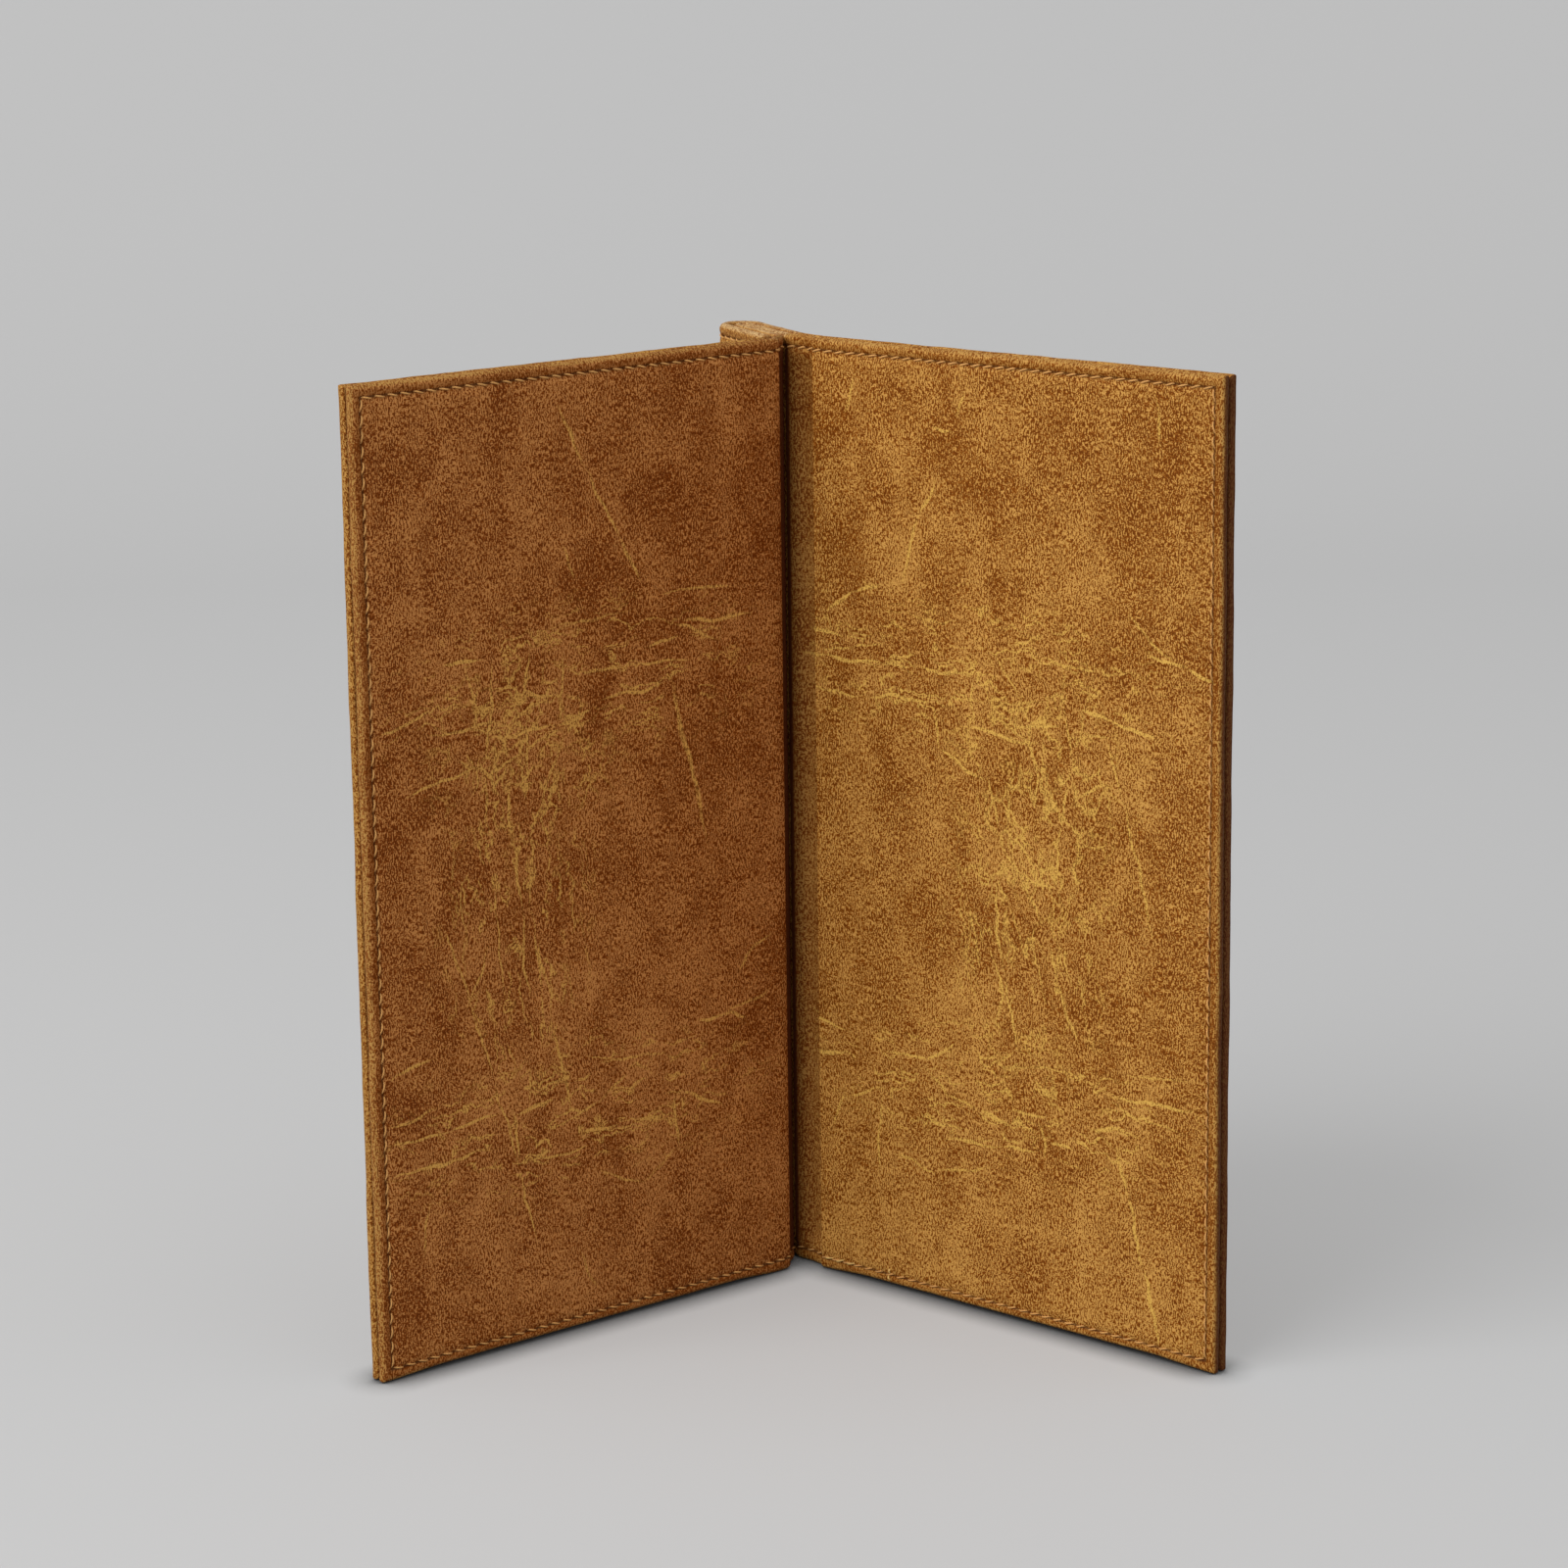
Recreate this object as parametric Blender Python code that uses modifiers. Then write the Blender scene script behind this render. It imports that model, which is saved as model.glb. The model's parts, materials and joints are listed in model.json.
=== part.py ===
"""Leather notebook cover for loose sheets, standing open on its bottom edges.

Two leather-covered boards hang on soft leather hinges from a binding block. The block is
two stiffened strips, folded together at the spine and clamped by screw posts. Units are
metres, +Z is up, X runs to the right of someone who faces the inside of the open cover,
and Y runs away from them.
"""

import math

import bmesh
import bpy
from mathutils import Matrix, Vector

# Overall sizes
HEIGHT = 0.230
BOARD_WIDTH = 0.119  # each cover, from its hinge to its fore-edge
HINGE_WIDTH = 0.010  # soft leather between a cover and its strip, laid flat
STRIP_WIDTH = 0.025  # flat part of each binding strip

# Leather and the gaps between its layers
LEATHER = 0.0011
FOLD_GAP = 0.0003  # glue line inside a turned-in edge
CLEARANCE = 0.0003  # between neighbouring pieces
SHEET_GAP = 0.0007  # between the two strips, where the sheets are clamped
HEM = 0.008  # width of the turned-in margin
EDGE_ROUND = 0.0008  # rounding of a folded edge
EDGE_STEPS = 3
HINGE_DIP = 0.0009  # how far the hinge leather sinks between board and strip

# Seam
STITCH_INSET = 0.003  # from the edge to the middle of the seam
THREAD = 0.0005

# Screw posts
POST_SPACING = 0.080
POST_SETBACK = 0.012  # from the fold of the spine to the posts
POST_DIAMETER = 0.005
POST_HEAD_DIAMETER = 0.010
POST_HEAD_HEIGHT = 0.0012
POST_FLOOR = 0.0016  # metal left between a post's head and the end of its bore
SCREW_DIAMETER = 0.003
SLOT_WIDTH = 0.0010
SLOT_DEPTH = 0.0006
TURN_STEPS = 28

# The way it stands in the photograph
BLOCK_HEADING = math.radians(113.0)  # from the hinges to the spine, seen from above
FRONT_OPEN = math.radians(73.5)  # each cover, from closed
BACK_OPEN = math.radians(25.5)

# Sizes that follow
LOBE = 2 * LEATHER + FOLD_GAP  # one leather folded back on itself
COVER = 2 * LOBE + CLEARANCE  # thickness of a cover or a strip
BOARD = COVER - 2 * (LEATHER + CLEARANCE)
BLOCK_HALF = COVER + SHEET_GAP / 2
STRIP_MID = BLOCK_HALF - COVER / 2  # from the middle of the block to the middle of a strip
PIVOT = HINGE_WIDTH / 2  # from a hinge's axis to the end of its board
GROOVE_WIDTH = THREAD + 2 * CLEARANCE
GROOVE_DEPTH = THREAD + CLEARANCE
SPINE_STEPS = 18
HINGE_STEPS = 10
SAME_POINT = 0.000001  # outlines that share a point are joined there

COLOURS = {
    "leather": ((0.30, 0.115, 0.025), 0.62, 0.0),
    "lining": ((0.33, 0.13, 0.03), 0.62, 0.0),
    "board": ((0.36, 0.33, 0.29), 0.9, 0.0),
    "thread": ((0.55, 0.27, 0.07), 0.7, 0.0),
    "brass": ((0.60, 0.42, 0.16), 0.35, 1.0),
}


def clear_scene():
    for obj in list(bpy.data.objects):
        bpy.data.objects.remove(obj, do_unlink=True)


def new_collection(name):
    collection = bpy.data.collections.new(name)
    bpy.context.scene.collection.children.link(collection)
    return collection


def new_empty(name, parent=None, place=(0.0, 0.0, 0.0), turn=0.0):
    empty = bpy.data.objects.new(name, None)
    PARTS.objects.link(empty)
    empty.parent = parent
    empty.location = place
    empty.rotation_euler.z = turn
    return empty


def new_material(name, finish):
    colour, roughness, metallic = COLOURS[finish]
    material = bpy.data.materials.new(name)
    material.use_nodes = True
    shader = material.node_tree.nodes["Principled BSDF"]
    shader.inputs["Base Color"].default_value = (*colour, 1.0)
    shader.inputs["Roughness"].default_value = roughness
    shader.inputs["Metallic"].default_value = metallic
    return material


def add_part(name, data, parent, finish):
    part = bpy.data.objects.new(name, data)
    part.data.materials.append(new_material(name, finish))
    part.parent = parent
    PARTS.objects.link(part)
    return part


def mesh_of(bm, name):
    bmesh.ops.recalc_face_normals(bm, faces=bm.faces[:])
    mesh = bpy.data.meshes.new(name)
    bm.to_mesh(mesh)
    bm.free()
    return mesh


def add_box(bm, low, high):
    low, high = Vector(low), Vector(high)
    middle = Matrix.Translation((low + high) / 2)
    return bmesh.ops.create_cube(bm, size=1.0, matrix=middle @ Matrix.Diagonal((*(high - low), 1.0)))


def face_towards(bm, direction):
    """The largest face whose normal points along the direction."""
    bm.normal_update()
    facing = [f for f in bm.faces if f.normal.dot(direction) > 0.99]
    return max(facing, key=lambda f: f.calc_area())


def sink(bm, faces, depth):
    """Pushes a group of faces straight in, with square walls."""
    bmesh.ops.inset_region(bm, faces=faces, thickness=0.0, depth=-depth, use_boundary=True)


def folded_leather(name, cover, side, finish):
    """One leather of a cover: a sheet with its margins turned in on three sides.

    The sheet lies on the given side of the cover's mid-plane. The board sits in the recess
    that the margins leave, the seam's thread in a groove round the outside, and the leather
    is cut off square at the hinge.
    """
    bm = bmesh.new()
    overrun = 2 * HEM
    near, far = side * CLEARANCE / 2, side * (CLEARANCE / 2 + LOBE)
    low = (PIVOT - overrun, min(near, far), 0.0)
    high = (PIVOT + BOARD_WIDTH, max(near, far), HEIGHT)
    add_box(bm, low, high)
    bmesh.ops.bevel(bm, geom=bm.edges[:], offset=EDGE_ROUND, segments=EDGE_STEPS, profile=0.5, affect="EDGES")

    recess = face_towards(bm, Vector((0, -side, 0)))
    bmesh.ops.inset_region(bm, faces=[recess], thickness=HEM - EDGE_ROUND, use_even_offset=True)
    sink(bm, [recess], LOBE - LEATHER)

    skin = face_towards(bm, Vector((0, side, 0)))
    to_groove = STITCH_INSET - GROOVE_WIDTH / 2 - EDGE_ROUND
    bmesh.ops.inset_region(bm, faces=[skin], thickness=to_groove, use_even_offset=True)
    ring = bmesh.ops.inset_region(bm, faces=[skin], thickness=GROOVE_WIDTH, use_even_offset=True)
    sink(bm, ring["faces"], GROOVE_DEPTH)

    everything = bm.verts[:] + bm.edges[:] + bm.faces[:]
    bmesh.ops.bisect_plane(bm, geom=everything, plane_co=(PIVOT, 0, 0), plane_no=(1, 0, 0), clear_inner=True)
    bmesh.ops.edgeloop_fill(bm, edges=[e for e in bm.edges if e.is_boundary])
    return add_part(name, mesh_of(bm, name), cover, finish)


def cover_board(name, cover):
    bm = bmesh.new()
    low = (PIVOT + CLEARANCE, -BOARD / 2, HEM + CLEARANCE)
    high = (PIVOT + BOARD_WIDTH - HEM - CLEARANCE, BOARD / 2, HEIGHT - HEM - CLEARANCE)
    add_box(bm, low, high)
    return add_part(name, mesh_of(bm, name), cover, "board")


def thread_along(name, points, parent):
    """A thread laid along a line of points, flush with the leather round it."""
    curve = bpy.data.curves.new(name, "CURVE")
    curve.dimensions = "3D"
    curve.bevel_depth = THREAD / 2
    curve.bevel_resolution = 0
    curve.use_fill_caps = True
    spline = curve.splines.new("POLY")
    spline.points.add(len(points) - 1)
    for point, place in zip(spline.points, points):
        point.co = (*place, 1.0)
    return add_part(name, curve, parent, "thread")


def cover_thread(name, cover, side):
    """The seam along the bottom, the fore-edge and the top of one face of a cover."""
    depth = side * (COVER / 2 - THREAD / 2)
    hinge_end = PIVOT + CLEARANCE
    fore_edge = PIVOT + BOARD_WIDTH - STITCH_INSET
    low, high = STITCH_INSET, HEIGHT - STITCH_INSET
    corners = [(hinge_end, low), (fore_edge, low), (fore_edge, high), (hinge_end, high)]
    return thread_along(name, [(x, depth, z) for x, z in corners], cover)


def loft(rings):
    """A closed solid through a stack of outlines with equal numbers of points."""
    bm = bmesh.new()
    base = bm.faces.new([bm.verts.new(p) for p in rings[0]])
    edges = base.edges[:]
    below = base.verts[:]
    for ring in rings[1:]:
        made = bmesh.ops.extrude_edge_only(bm, edges=edges)["geom"]
        edges = [e for e in made if isinstance(e, bmesh.types.BMEdge)]
        above = [next(e.other_vert(v) for e in v.link_edges if e.other_vert(v) in made) for v in below]
        for vert, place in zip(above, ring):
            vert.co = place
        edges = [e for e in edges if all(v in above for v in e.verts)]
        below = above
    bm.faces.new(below)
    bmesh.ops.remove_doubles(bm, verts=bm.verts[:], dist=SAME_POINT)
    bmesh.ops.dissolve_degenerate(bm, edges=bm.edges[:], dist=SAME_POINT)
    return bm


def hairpin(outer, inner, z):
    """The outline of a strip folded in two round the spine: outside line out, inside line back."""
    angles = [math.pi / 2 - math.pi * i / SPINE_STEPS for i in range(SPINE_STEPS + 1)]
    turn = [(math.cos(a), math.sin(a)) for a in angles]
    outside = [(0.0, outer)] + [(STRIP_WIDTH + outer * c, outer * s) for c, s in turn] + [(0.0, -outer)]
    inside = [(0.0, -inner)] + [(STRIP_WIDTH + inner * c, inner * s) for c, s in reversed(turn)] + [(0.0, inner)]
    return [(x, y, z) for x, y in outside + inside]


def spine_leather(block):
    """The hide round the outside of the block, with turned-in margins and a groove for each seam."""
    margin, wall = BLOCK_HALF - LOBE, BLOCK_HALF - LEATHER
    rounding = [math.pi / 2 * i / EDGE_STEPS for i in range(EDGE_STEPS + 1)]
    half = [
        (BLOCK_HALF - EDGE_ROUND * (1 - math.sin(a)), margin, EDGE_ROUND * (1 - math.cos(a)))
        for a in rounding
    ]
    groove_low, groove_high = STITCH_INSET - GROOVE_WIDTH / 2, STITCH_INSET + GROOVE_WIDTH / 2
    half += [(BLOCK_HALF, margin, groove_low), (BLOCK_HALF - GROOVE_DEPTH, margin, groove_low)]
    half += [(BLOCK_HALF - GROOVE_DEPTH, margin, groove_high), (BLOCK_HALF, margin, groove_high)]
    half += [(BLOCK_HALF, margin, HEM), (BLOCK_HALF, wall, HEM)]
    stack = half + [(outer, inner, HEIGHT - z) for outer, inner, z in reversed(half)]
    bm = loft([hairpin(*level) for level in stack])
    return add_part("spine_leather", mesh_of(bm, "spine_leather"), block, "leather")


def spine_lining(block):
    """The lining inside the fold, with turned-in margins that meet those of the hide."""
    outer, skin = BLOCK_HALF - LOBE - CLEARANCE, SHEET_GAP / 2 + LEATHER
    half = [(outer, 0.0), (outer, HEM), (skin, HEM)]
    stack = half + [(width, HEIGHT - z) for width, z in reversed(half)]
    bm = loft([hairpin(width, SHEET_GAP / 2, z) for width, z in stack])
    return add_part("spine_lining", mesh_of(bm, "spine_lining"), block, "lining")


def strip_board(name, block, side):
    bm = bmesh.new()
    inner = SHEET_GAP / 2 + LEATHER + CLEARANCE
    faces = sorted((side * inner, side * (inner + BOARD)))
    low = (CLEARANCE, faces[0], HEM + CLEARANCE)
    high = (STRIP_WIDTH, faces[1], HEIGHT - HEM - CLEARANCE)
    add_box(bm, low, high)
    return add_part(name, mesh_of(bm, name), block, "board")


def spine_thread(name, block, z):
    """The seam along one end of the block, from one strip round the spine to the other."""
    line = hairpin(BLOCK_HALF - THREAD / 2, 0.0, z)[: SPINE_STEPS + 3]
    line[0] = (CLEARANCE, *line[0][1:])
    line[-1] = (CLEARANCE, *line[-1][1:])
    return thread_along(name, line, block)


def hinge_sheet(name, block, side, opened, face, finish):
    """One leather of a hinge, bent along an arc that leaves strip and board in line with them.

    side is the strip's side of the block. face is 1 for the lining, outside the bend, and -1
    for the outer leather, inside it. Between its margins the sheet dips towards its fellow.
    """
    radius = PIVOT / math.tan(opened / 2)
    trim = CLEARANCE / radius
    shares = [i / HINGE_STEPS for i in range(HINGE_STEPS + 1)]

    def line(offset, dip, z):
        points = []
        for share in shares:
            angle = trim + (opened - 2 * trim) * share
            reach = radius + face * (offset - dip * math.sin(math.pi * share))
            x, y = -reach * math.sin(angle), STRIP_MID + radius - reach * math.cos(angle)
            points.append((x, side * y, z))
        return points

    def level(back, dip, z):
        return line(COVER / 2, dip, z) + line(back, dip, z)[::-1]

    folded, single = CLEARANCE / 2, COVER / 2 - LEATHER
    half = [(folded, 0.0, 0.0), (folded, 0.0, HEM), (single, HINGE_DIP, HEM)]
    stack = half + [(back, dip, HEIGHT - z) for back, dip, z in reversed(half)]
    bm = loft([level(*step) for step in stack])
    return add_part(name, mesh_of(bm, name), block, finish)


def turned(name, profile, block, place, turn):
    """A turned piece: a profile of (radius, height) points spun about its own Z axis."""
    mesh = bpy.data.meshes.new(name)
    points = [(radius, 0.0, height) for radius, height in profile]
    mesh.from_pydata(points, [(i, i + 1) for i in range(len(points) - 1)], [])
    part = add_part(name, mesh, block, "brass")
    part.location = place
    part.rotation_euler.x = turn
    screw = part.modifiers.new("turn", "SCREW")
    screw.axis = "Z"
    screw.steps = screw.render_steps = TURN_STEPS
    screw.use_merge_vertices = True
    screw.merge_threshold = 0.00001
    return part


def screw_post(name, block, z):
    """A post with a flat head on the front strip and a bore that takes the screw."""
    top = BLOCK_HALF + CLEARANCE + POST_HEAD_HEIGHT
    under = BLOCK_HALF + CLEARANCE
    end = -BLOCK_HALF
    head, barrel = POST_HEAD_DIAMETER / 2, POST_DIAMETER / 2
    bore = SCREW_DIAMETER / 2 + CLEARANCE
    rim = POST_HEAD_HEIGHT / 4
    profile = [(0, top), (head - rim, top), (head, top - rim), (head, under), (barrel, under)]
    profile += [(barrel, end), (bore, end), (bore, under - POST_FLOOR), (0, under - POST_FLOOR)]
    return turned(name, profile, block, (STRIP_WIDTH - POST_SETBACK, 0, z), -math.pi / 2)


def post_screw(name, block, z, slot):
    """The screw that enters a post from the back strip, with a driver slot across its head."""
    top = BLOCK_HALF + CLEARANCE + POST_HEAD_HEIGHT
    under = BLOCK_HALF + CLEARANCE
    tip = -(BLOCK_HALF - POST_FLOOR)
    head, shank = POST_HEAD_DIAMETER / 2, SCREW_DIAMETER / 2
    rim = POST_HEAD_HEIGHT / 4
    profile = [(0, top), (head - rim, top), (head, top - rim), (head, under)]
    profile += [(shank, under), (shank, tip), (0, tip)]
    part = turned(name, profile, block, (STRIP_WIDTH - POST_SETBACK, 0, z), math.pi / 2)
    cut(part, slot)
    return part


def add_cutter(name, bm, block):
    cutter = bpy.data.objects.new(name, mesh_of(bm, name))
    cutter.parent = block
    cutter.hide_render = True
    cutter.display_type = "WIRE"
    CUTTERS.objects.link(cutter)
    return cutter


def cut(part, cutter):
    boolean = part.modifiers.new(cutter.name, "BOOLEAN")
    boolean.operation = "DIFFERENCE"
    boolean.object = cutter


def post_heights():
    return HEIGHT / 2 - POST_SPACING / 2, HEIGHT / 2 + POST_SPACING / 2


def post_holes(block):
    """Two round holes across the block, a clearance larger than the posts."""
    bm = bmesh.new()
    for z in post_heights():
        place = Matrix.Translation((STRIP_WIDTH - POST_SETBACK, 0, z)) @ Matrix.Rotation(math.pi / 2, 4, "X")
        bmesh.ops.create_cone(
            bm,
            cap_ends=True,
            segments=TURN_STEPS,
            radius1=POST_DIAMETER / 2 + CLEARANCE,
            radius2=POST_DIAMETER / 2 + CLEARANCE,
            depth=4 * BLOCK_HALF,
            matrix=place,
        )
    return add_cutter("post_holes", bm, block)


def driver_slots(block):
    """The slots across the two screw heads."""
    bm = bmesh.new()
    outside = -(BLOCK_HALF + CLEARANCE + POST_HEAD_HEIGHT)
    middle = STRIP_WIDTH - POST_SETBACK
    for z in post_heights():
        low = (middle - POST_HEAD_DIAMETER, outside - SLOT_DEPTH, z - SLOT_WIDTH / 2)
        high = (middle + POST_HEAD_DIAMETER, outside + SLOT_DEPTH, z + SLOT_WIDTH / 2)
        add_box(bm, low, high)
    return add_cutter("driver_slots", bm, block)


def build_block(root):
    block = new_empty("binding_frame", root, turn=BLOCK_HEADING)
    leathers = [spine_leather(block), spine_lining(block)]
    boards = [strip_board("front_strip_board", block, 1), strip_board("back_strip_board", block, -1)]
    holes = post_holes(block)
    for piece in leathers + boards:
        cut(piece, holes)
    spine_thread("spine_bottom_thread", block, STITCH_INSET)
    spine_thread("spine_top_thread", block, HEIGHT - STITCH_INSET)
    slots = driver_slots(block)
    for name, z in zip(("lower", "upper"), post_heights()):
        screw_post(name + "_post", block, z)
        post_screw(name + "_screw", block, z, slots)
    return block


def build_cover(name, block, side, opened):
    """A cover, turned about its hinge's axis from closed, and the leather of that hinge.

    side is 1 for the front cover, on the front strip's side of the block, and -1 for the back
    cover. Closed, a cover lies in line with its strip.
    """
    axis = new_empty(name + "_hinge_axis", block, (-PIVOT, side * STRIP_MID, 0), math.pi - side * opened)
    folded_leather(name + "_outer_leather", axis, -side, "leather")
    folded_leather(name + "_lining", axis, side, "lining")
    cover_board(name + "_board", axis)
    cover_thread(name + "_outer_thread", axis, -side)
    cover_thread(name + "_lining_thread", axis, side)
    hinge_sheet(name + "_hinge_leather", block, side, opened, -1, "leather")
    hinge_sheet(name + "_hinge_lining", block, side, opened, 1, "lining")


def stand_on_origin(root):
    """Moves the root so that the middle of the part's box, at its foot, is the origin."""
    bpy.context.view_layer.update()
    graph = bpy.context.evaluated_depsgraph_get()
    places = []
    for part in PARTS.objects:
        if part.type == "EMPTY":
            continue
        shape = part.evaluated_get(graph)
        places += [shape.matrix_world @ v.co for v in shape.to_mesh().vertices]
        shape.to_mesh_clear()
    for axis in (0, 1):
        sides = [place[axis] for place in places]
        root.location[axis] = -(min(sides) + max(sides)) / 2
    bpy.context.view_layer.update()


def main():
    root = new_empty("notebook_cover_frame")
    block = build_block(root)
    build_cover("front", block, 1, FRONT_OPEN)
    build_cover("back", block, -1, BACK_OPEN)
    stand_on_origin(root)


clear_scene()
PARTS = new_collection("notebook_cover")
CUTTERS = new_collection("cutters")
main()
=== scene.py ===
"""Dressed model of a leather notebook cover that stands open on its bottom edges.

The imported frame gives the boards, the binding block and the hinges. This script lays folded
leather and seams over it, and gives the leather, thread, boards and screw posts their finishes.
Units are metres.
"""

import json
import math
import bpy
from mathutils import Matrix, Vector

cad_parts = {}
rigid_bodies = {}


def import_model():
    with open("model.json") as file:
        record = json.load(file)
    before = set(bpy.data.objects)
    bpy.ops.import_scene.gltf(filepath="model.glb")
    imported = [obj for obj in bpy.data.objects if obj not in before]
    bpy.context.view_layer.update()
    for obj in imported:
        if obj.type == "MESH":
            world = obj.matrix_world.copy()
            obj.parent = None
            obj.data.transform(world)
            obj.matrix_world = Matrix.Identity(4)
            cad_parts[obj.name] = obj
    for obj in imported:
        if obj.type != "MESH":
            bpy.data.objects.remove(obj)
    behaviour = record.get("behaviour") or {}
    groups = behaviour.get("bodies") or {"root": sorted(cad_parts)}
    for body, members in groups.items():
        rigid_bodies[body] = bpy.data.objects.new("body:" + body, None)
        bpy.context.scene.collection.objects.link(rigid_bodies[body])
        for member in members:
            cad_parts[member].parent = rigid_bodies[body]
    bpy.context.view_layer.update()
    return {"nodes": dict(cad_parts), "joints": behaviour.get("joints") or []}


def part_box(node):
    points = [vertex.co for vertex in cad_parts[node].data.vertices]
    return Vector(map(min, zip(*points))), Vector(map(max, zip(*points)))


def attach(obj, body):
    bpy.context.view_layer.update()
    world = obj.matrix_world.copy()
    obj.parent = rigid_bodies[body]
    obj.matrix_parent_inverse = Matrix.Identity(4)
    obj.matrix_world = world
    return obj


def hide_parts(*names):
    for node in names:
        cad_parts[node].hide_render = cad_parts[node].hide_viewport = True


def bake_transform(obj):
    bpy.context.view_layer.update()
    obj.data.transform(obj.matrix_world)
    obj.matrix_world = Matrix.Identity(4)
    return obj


bl_info = {
    "name": "Leather notebook cover",
    "version": (1, 0, 0),
    "blender": (4, 5, 0),
    "location": "View3D > Sidebar > Notebook cover",
    "description": "Dresses the packed notebook cover in folded leather, seams and screw posts",
    "category": "Object",
}

from types import SimpleNamespace

import bmesh
import bpy
import numpy as np
from bpy.props import FloatProperty, FloatVectorProperty, IntProperty, PointerProperty
from mathutils import Matrix, Vector

for leftover in list(bpy.data.objects):
    bpy.data.objects.remove(leftover, do_unlink=True)
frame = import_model()
JOINTS = {joint["name"]: joint for joint in frame["joints"]}

# Sizes of the solids, repeated from the part's source
STRIP_WIDTH = 0.025
BOARD_WIDTH = 0.119
LEATHER = 0.0011
FOLD_GAP = 0.0003
CLEARANCE = 0.0003
SHEET_GAP = 0.0007
HEM = 0.008
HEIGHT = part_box("spine_leather")[1].z
LOBE = 2 * LEATHER + FOLD_GAP
FOLD = LOBE / 2
COVER = 2 * LOBE + CLEARANCE
LOBE_MID = CLEARANCE / 2 + FOLD
BLOCK_HALF = COVER + SHEET_GAP / 2
STRIP_MID = BLOCK_HALF - COVER / 2

# Where the binding stands: both hinge axes lie a pivot's length in front of the two strips
FRONT_AXIS = np.array(JOINTS["front_hinge"]["pos_m"][:2])
BACK_AXIS = np.array(JOINTS["back_hinge"]["pos_m"][:2])
ACROSS = (FRONT_AXIS - BACK_AXIS) / np.linalg.norm(FRONT_AXIS - BACK_AXIS)
ALONG = np.array([ACROSS[1], -ACROSS[0]])
PIVOT = 0.005
ORIGIN = (FRONT_AXIS + BACK_AXIS) / 2 + PIVOT * ALONG
FRONT_OPEN = math.radians(JOINTS["front_hinge"]["range_deg"][1])
BACK_OPEN = -math.radians(JOINTS["back_hinge"]["range_deg"][0])

# How finely the sheets and the stitches are cut up
SAMPLES_PER_STITCH = 4
FOLD_STEPS = 6
STITCH_RINGS = 8
STITCH_SIDES = 6

# A hinge is tight when it bends by more radians than this. There the lining keeps a shoulder flat beyond
# its board. Then it steps down over a short run, and rises again over a share of the bend. The hide's
# inner ply thickens at a hinge
TIGHT = 1.0
SHOULDER = 0.002
STEP_RUN = 0.0014
RISE_SHARE = 0.55
HIDE_SINK = -0.00135
BLEND_INSET = 0.0006
STEP_COLUMNS = np.linspace(-0.0022, 0.0002, 9)

# Darkening in a hinge, as (most, cleft): dirt on a hide, and painted shade on a lining whose hinge bends
# tightly or stays wide, as the lining lies in the shadow of the boards. The cleft is a painted shadow
# where a lining leaves the strip
HIDE_SOIL = (0.12, 0.0)
TIGHT_HINGE_SHADE = (0.85, 0.0)
WIDE_HINGE_SHADE = (0.40, 0.95)
HINGE_DARK_RUN = 0.0012
HINGE_DARK_MARGIN = 0.0010
HINGE_DARK_FADE = 0.0030
CLEFT_SHADE_REACH = 0.0021
CLEFT_SHADE_RUN = 0.0014

# Spread of a needle hole and of the seam's channel, the sewn margin, which sinks less at a hinge, the
# band along an edge that strays, and how far the face swells
HOLE_SPREAD = 0.00042
SEAM_SPREAD = 0.0007
SEWN_MARGIN = 0.003
MARGIN_FADE = 0.006
EDGE_BAND = 0.004
SWELL = 0.00005

# A stitch leans across the seam by this much each way. It starts at a depth in its hole and rises
STITCH_LEAN = 0.00030
HOLE_START = 0.00095
STITCH_RISE = 0.00093

# Colours, in linear light, of the painted shade in the seam's channel, of a hinge's darkening (dirt on
# a hide, painted shade on a lining) and of deeper painted shade behind the folds, along the bottom edge,
# in a lining's hinge and on a fore-edge that lies in the shade
SEAM_SHADE = (0.06, 0.018, 0.004, 1.0)
HINGE_DIRT_AND_SHADE = (0.16, 0.034, 0.006, 1.0)
PAINTED_DEEP_SHADE = (0.08, 0.02, 0.006, 1.0)

# Colours of the spine's edges, partly rubbed wear and partly a painted sheen on their tops, and of the
# doubled row of stitches, and how far that row stands up
SPINE_EDGE_WEAR_AND_SHEEN = (0.60, 0.40, 0.18)
FRESH_THREAD = (1.0, 0.64, 0.20)
DOUBLED_LIFT = 0.00028

# Grains to the metre, and widths of creases and of crackle, which counts in cells. A single crease is
# as wide as its own width times the half width, and runs on at both ends. Its points are in millimetres
GRAINS = 2800.0
CREASE_WIDTH = 0.00050
CRACKLE_WIDTH = 0.12
STROKE_HALF_WIDTH = 0.00060
STROKE_END = 0.0012
MILLIMETRE = 0.001


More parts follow.
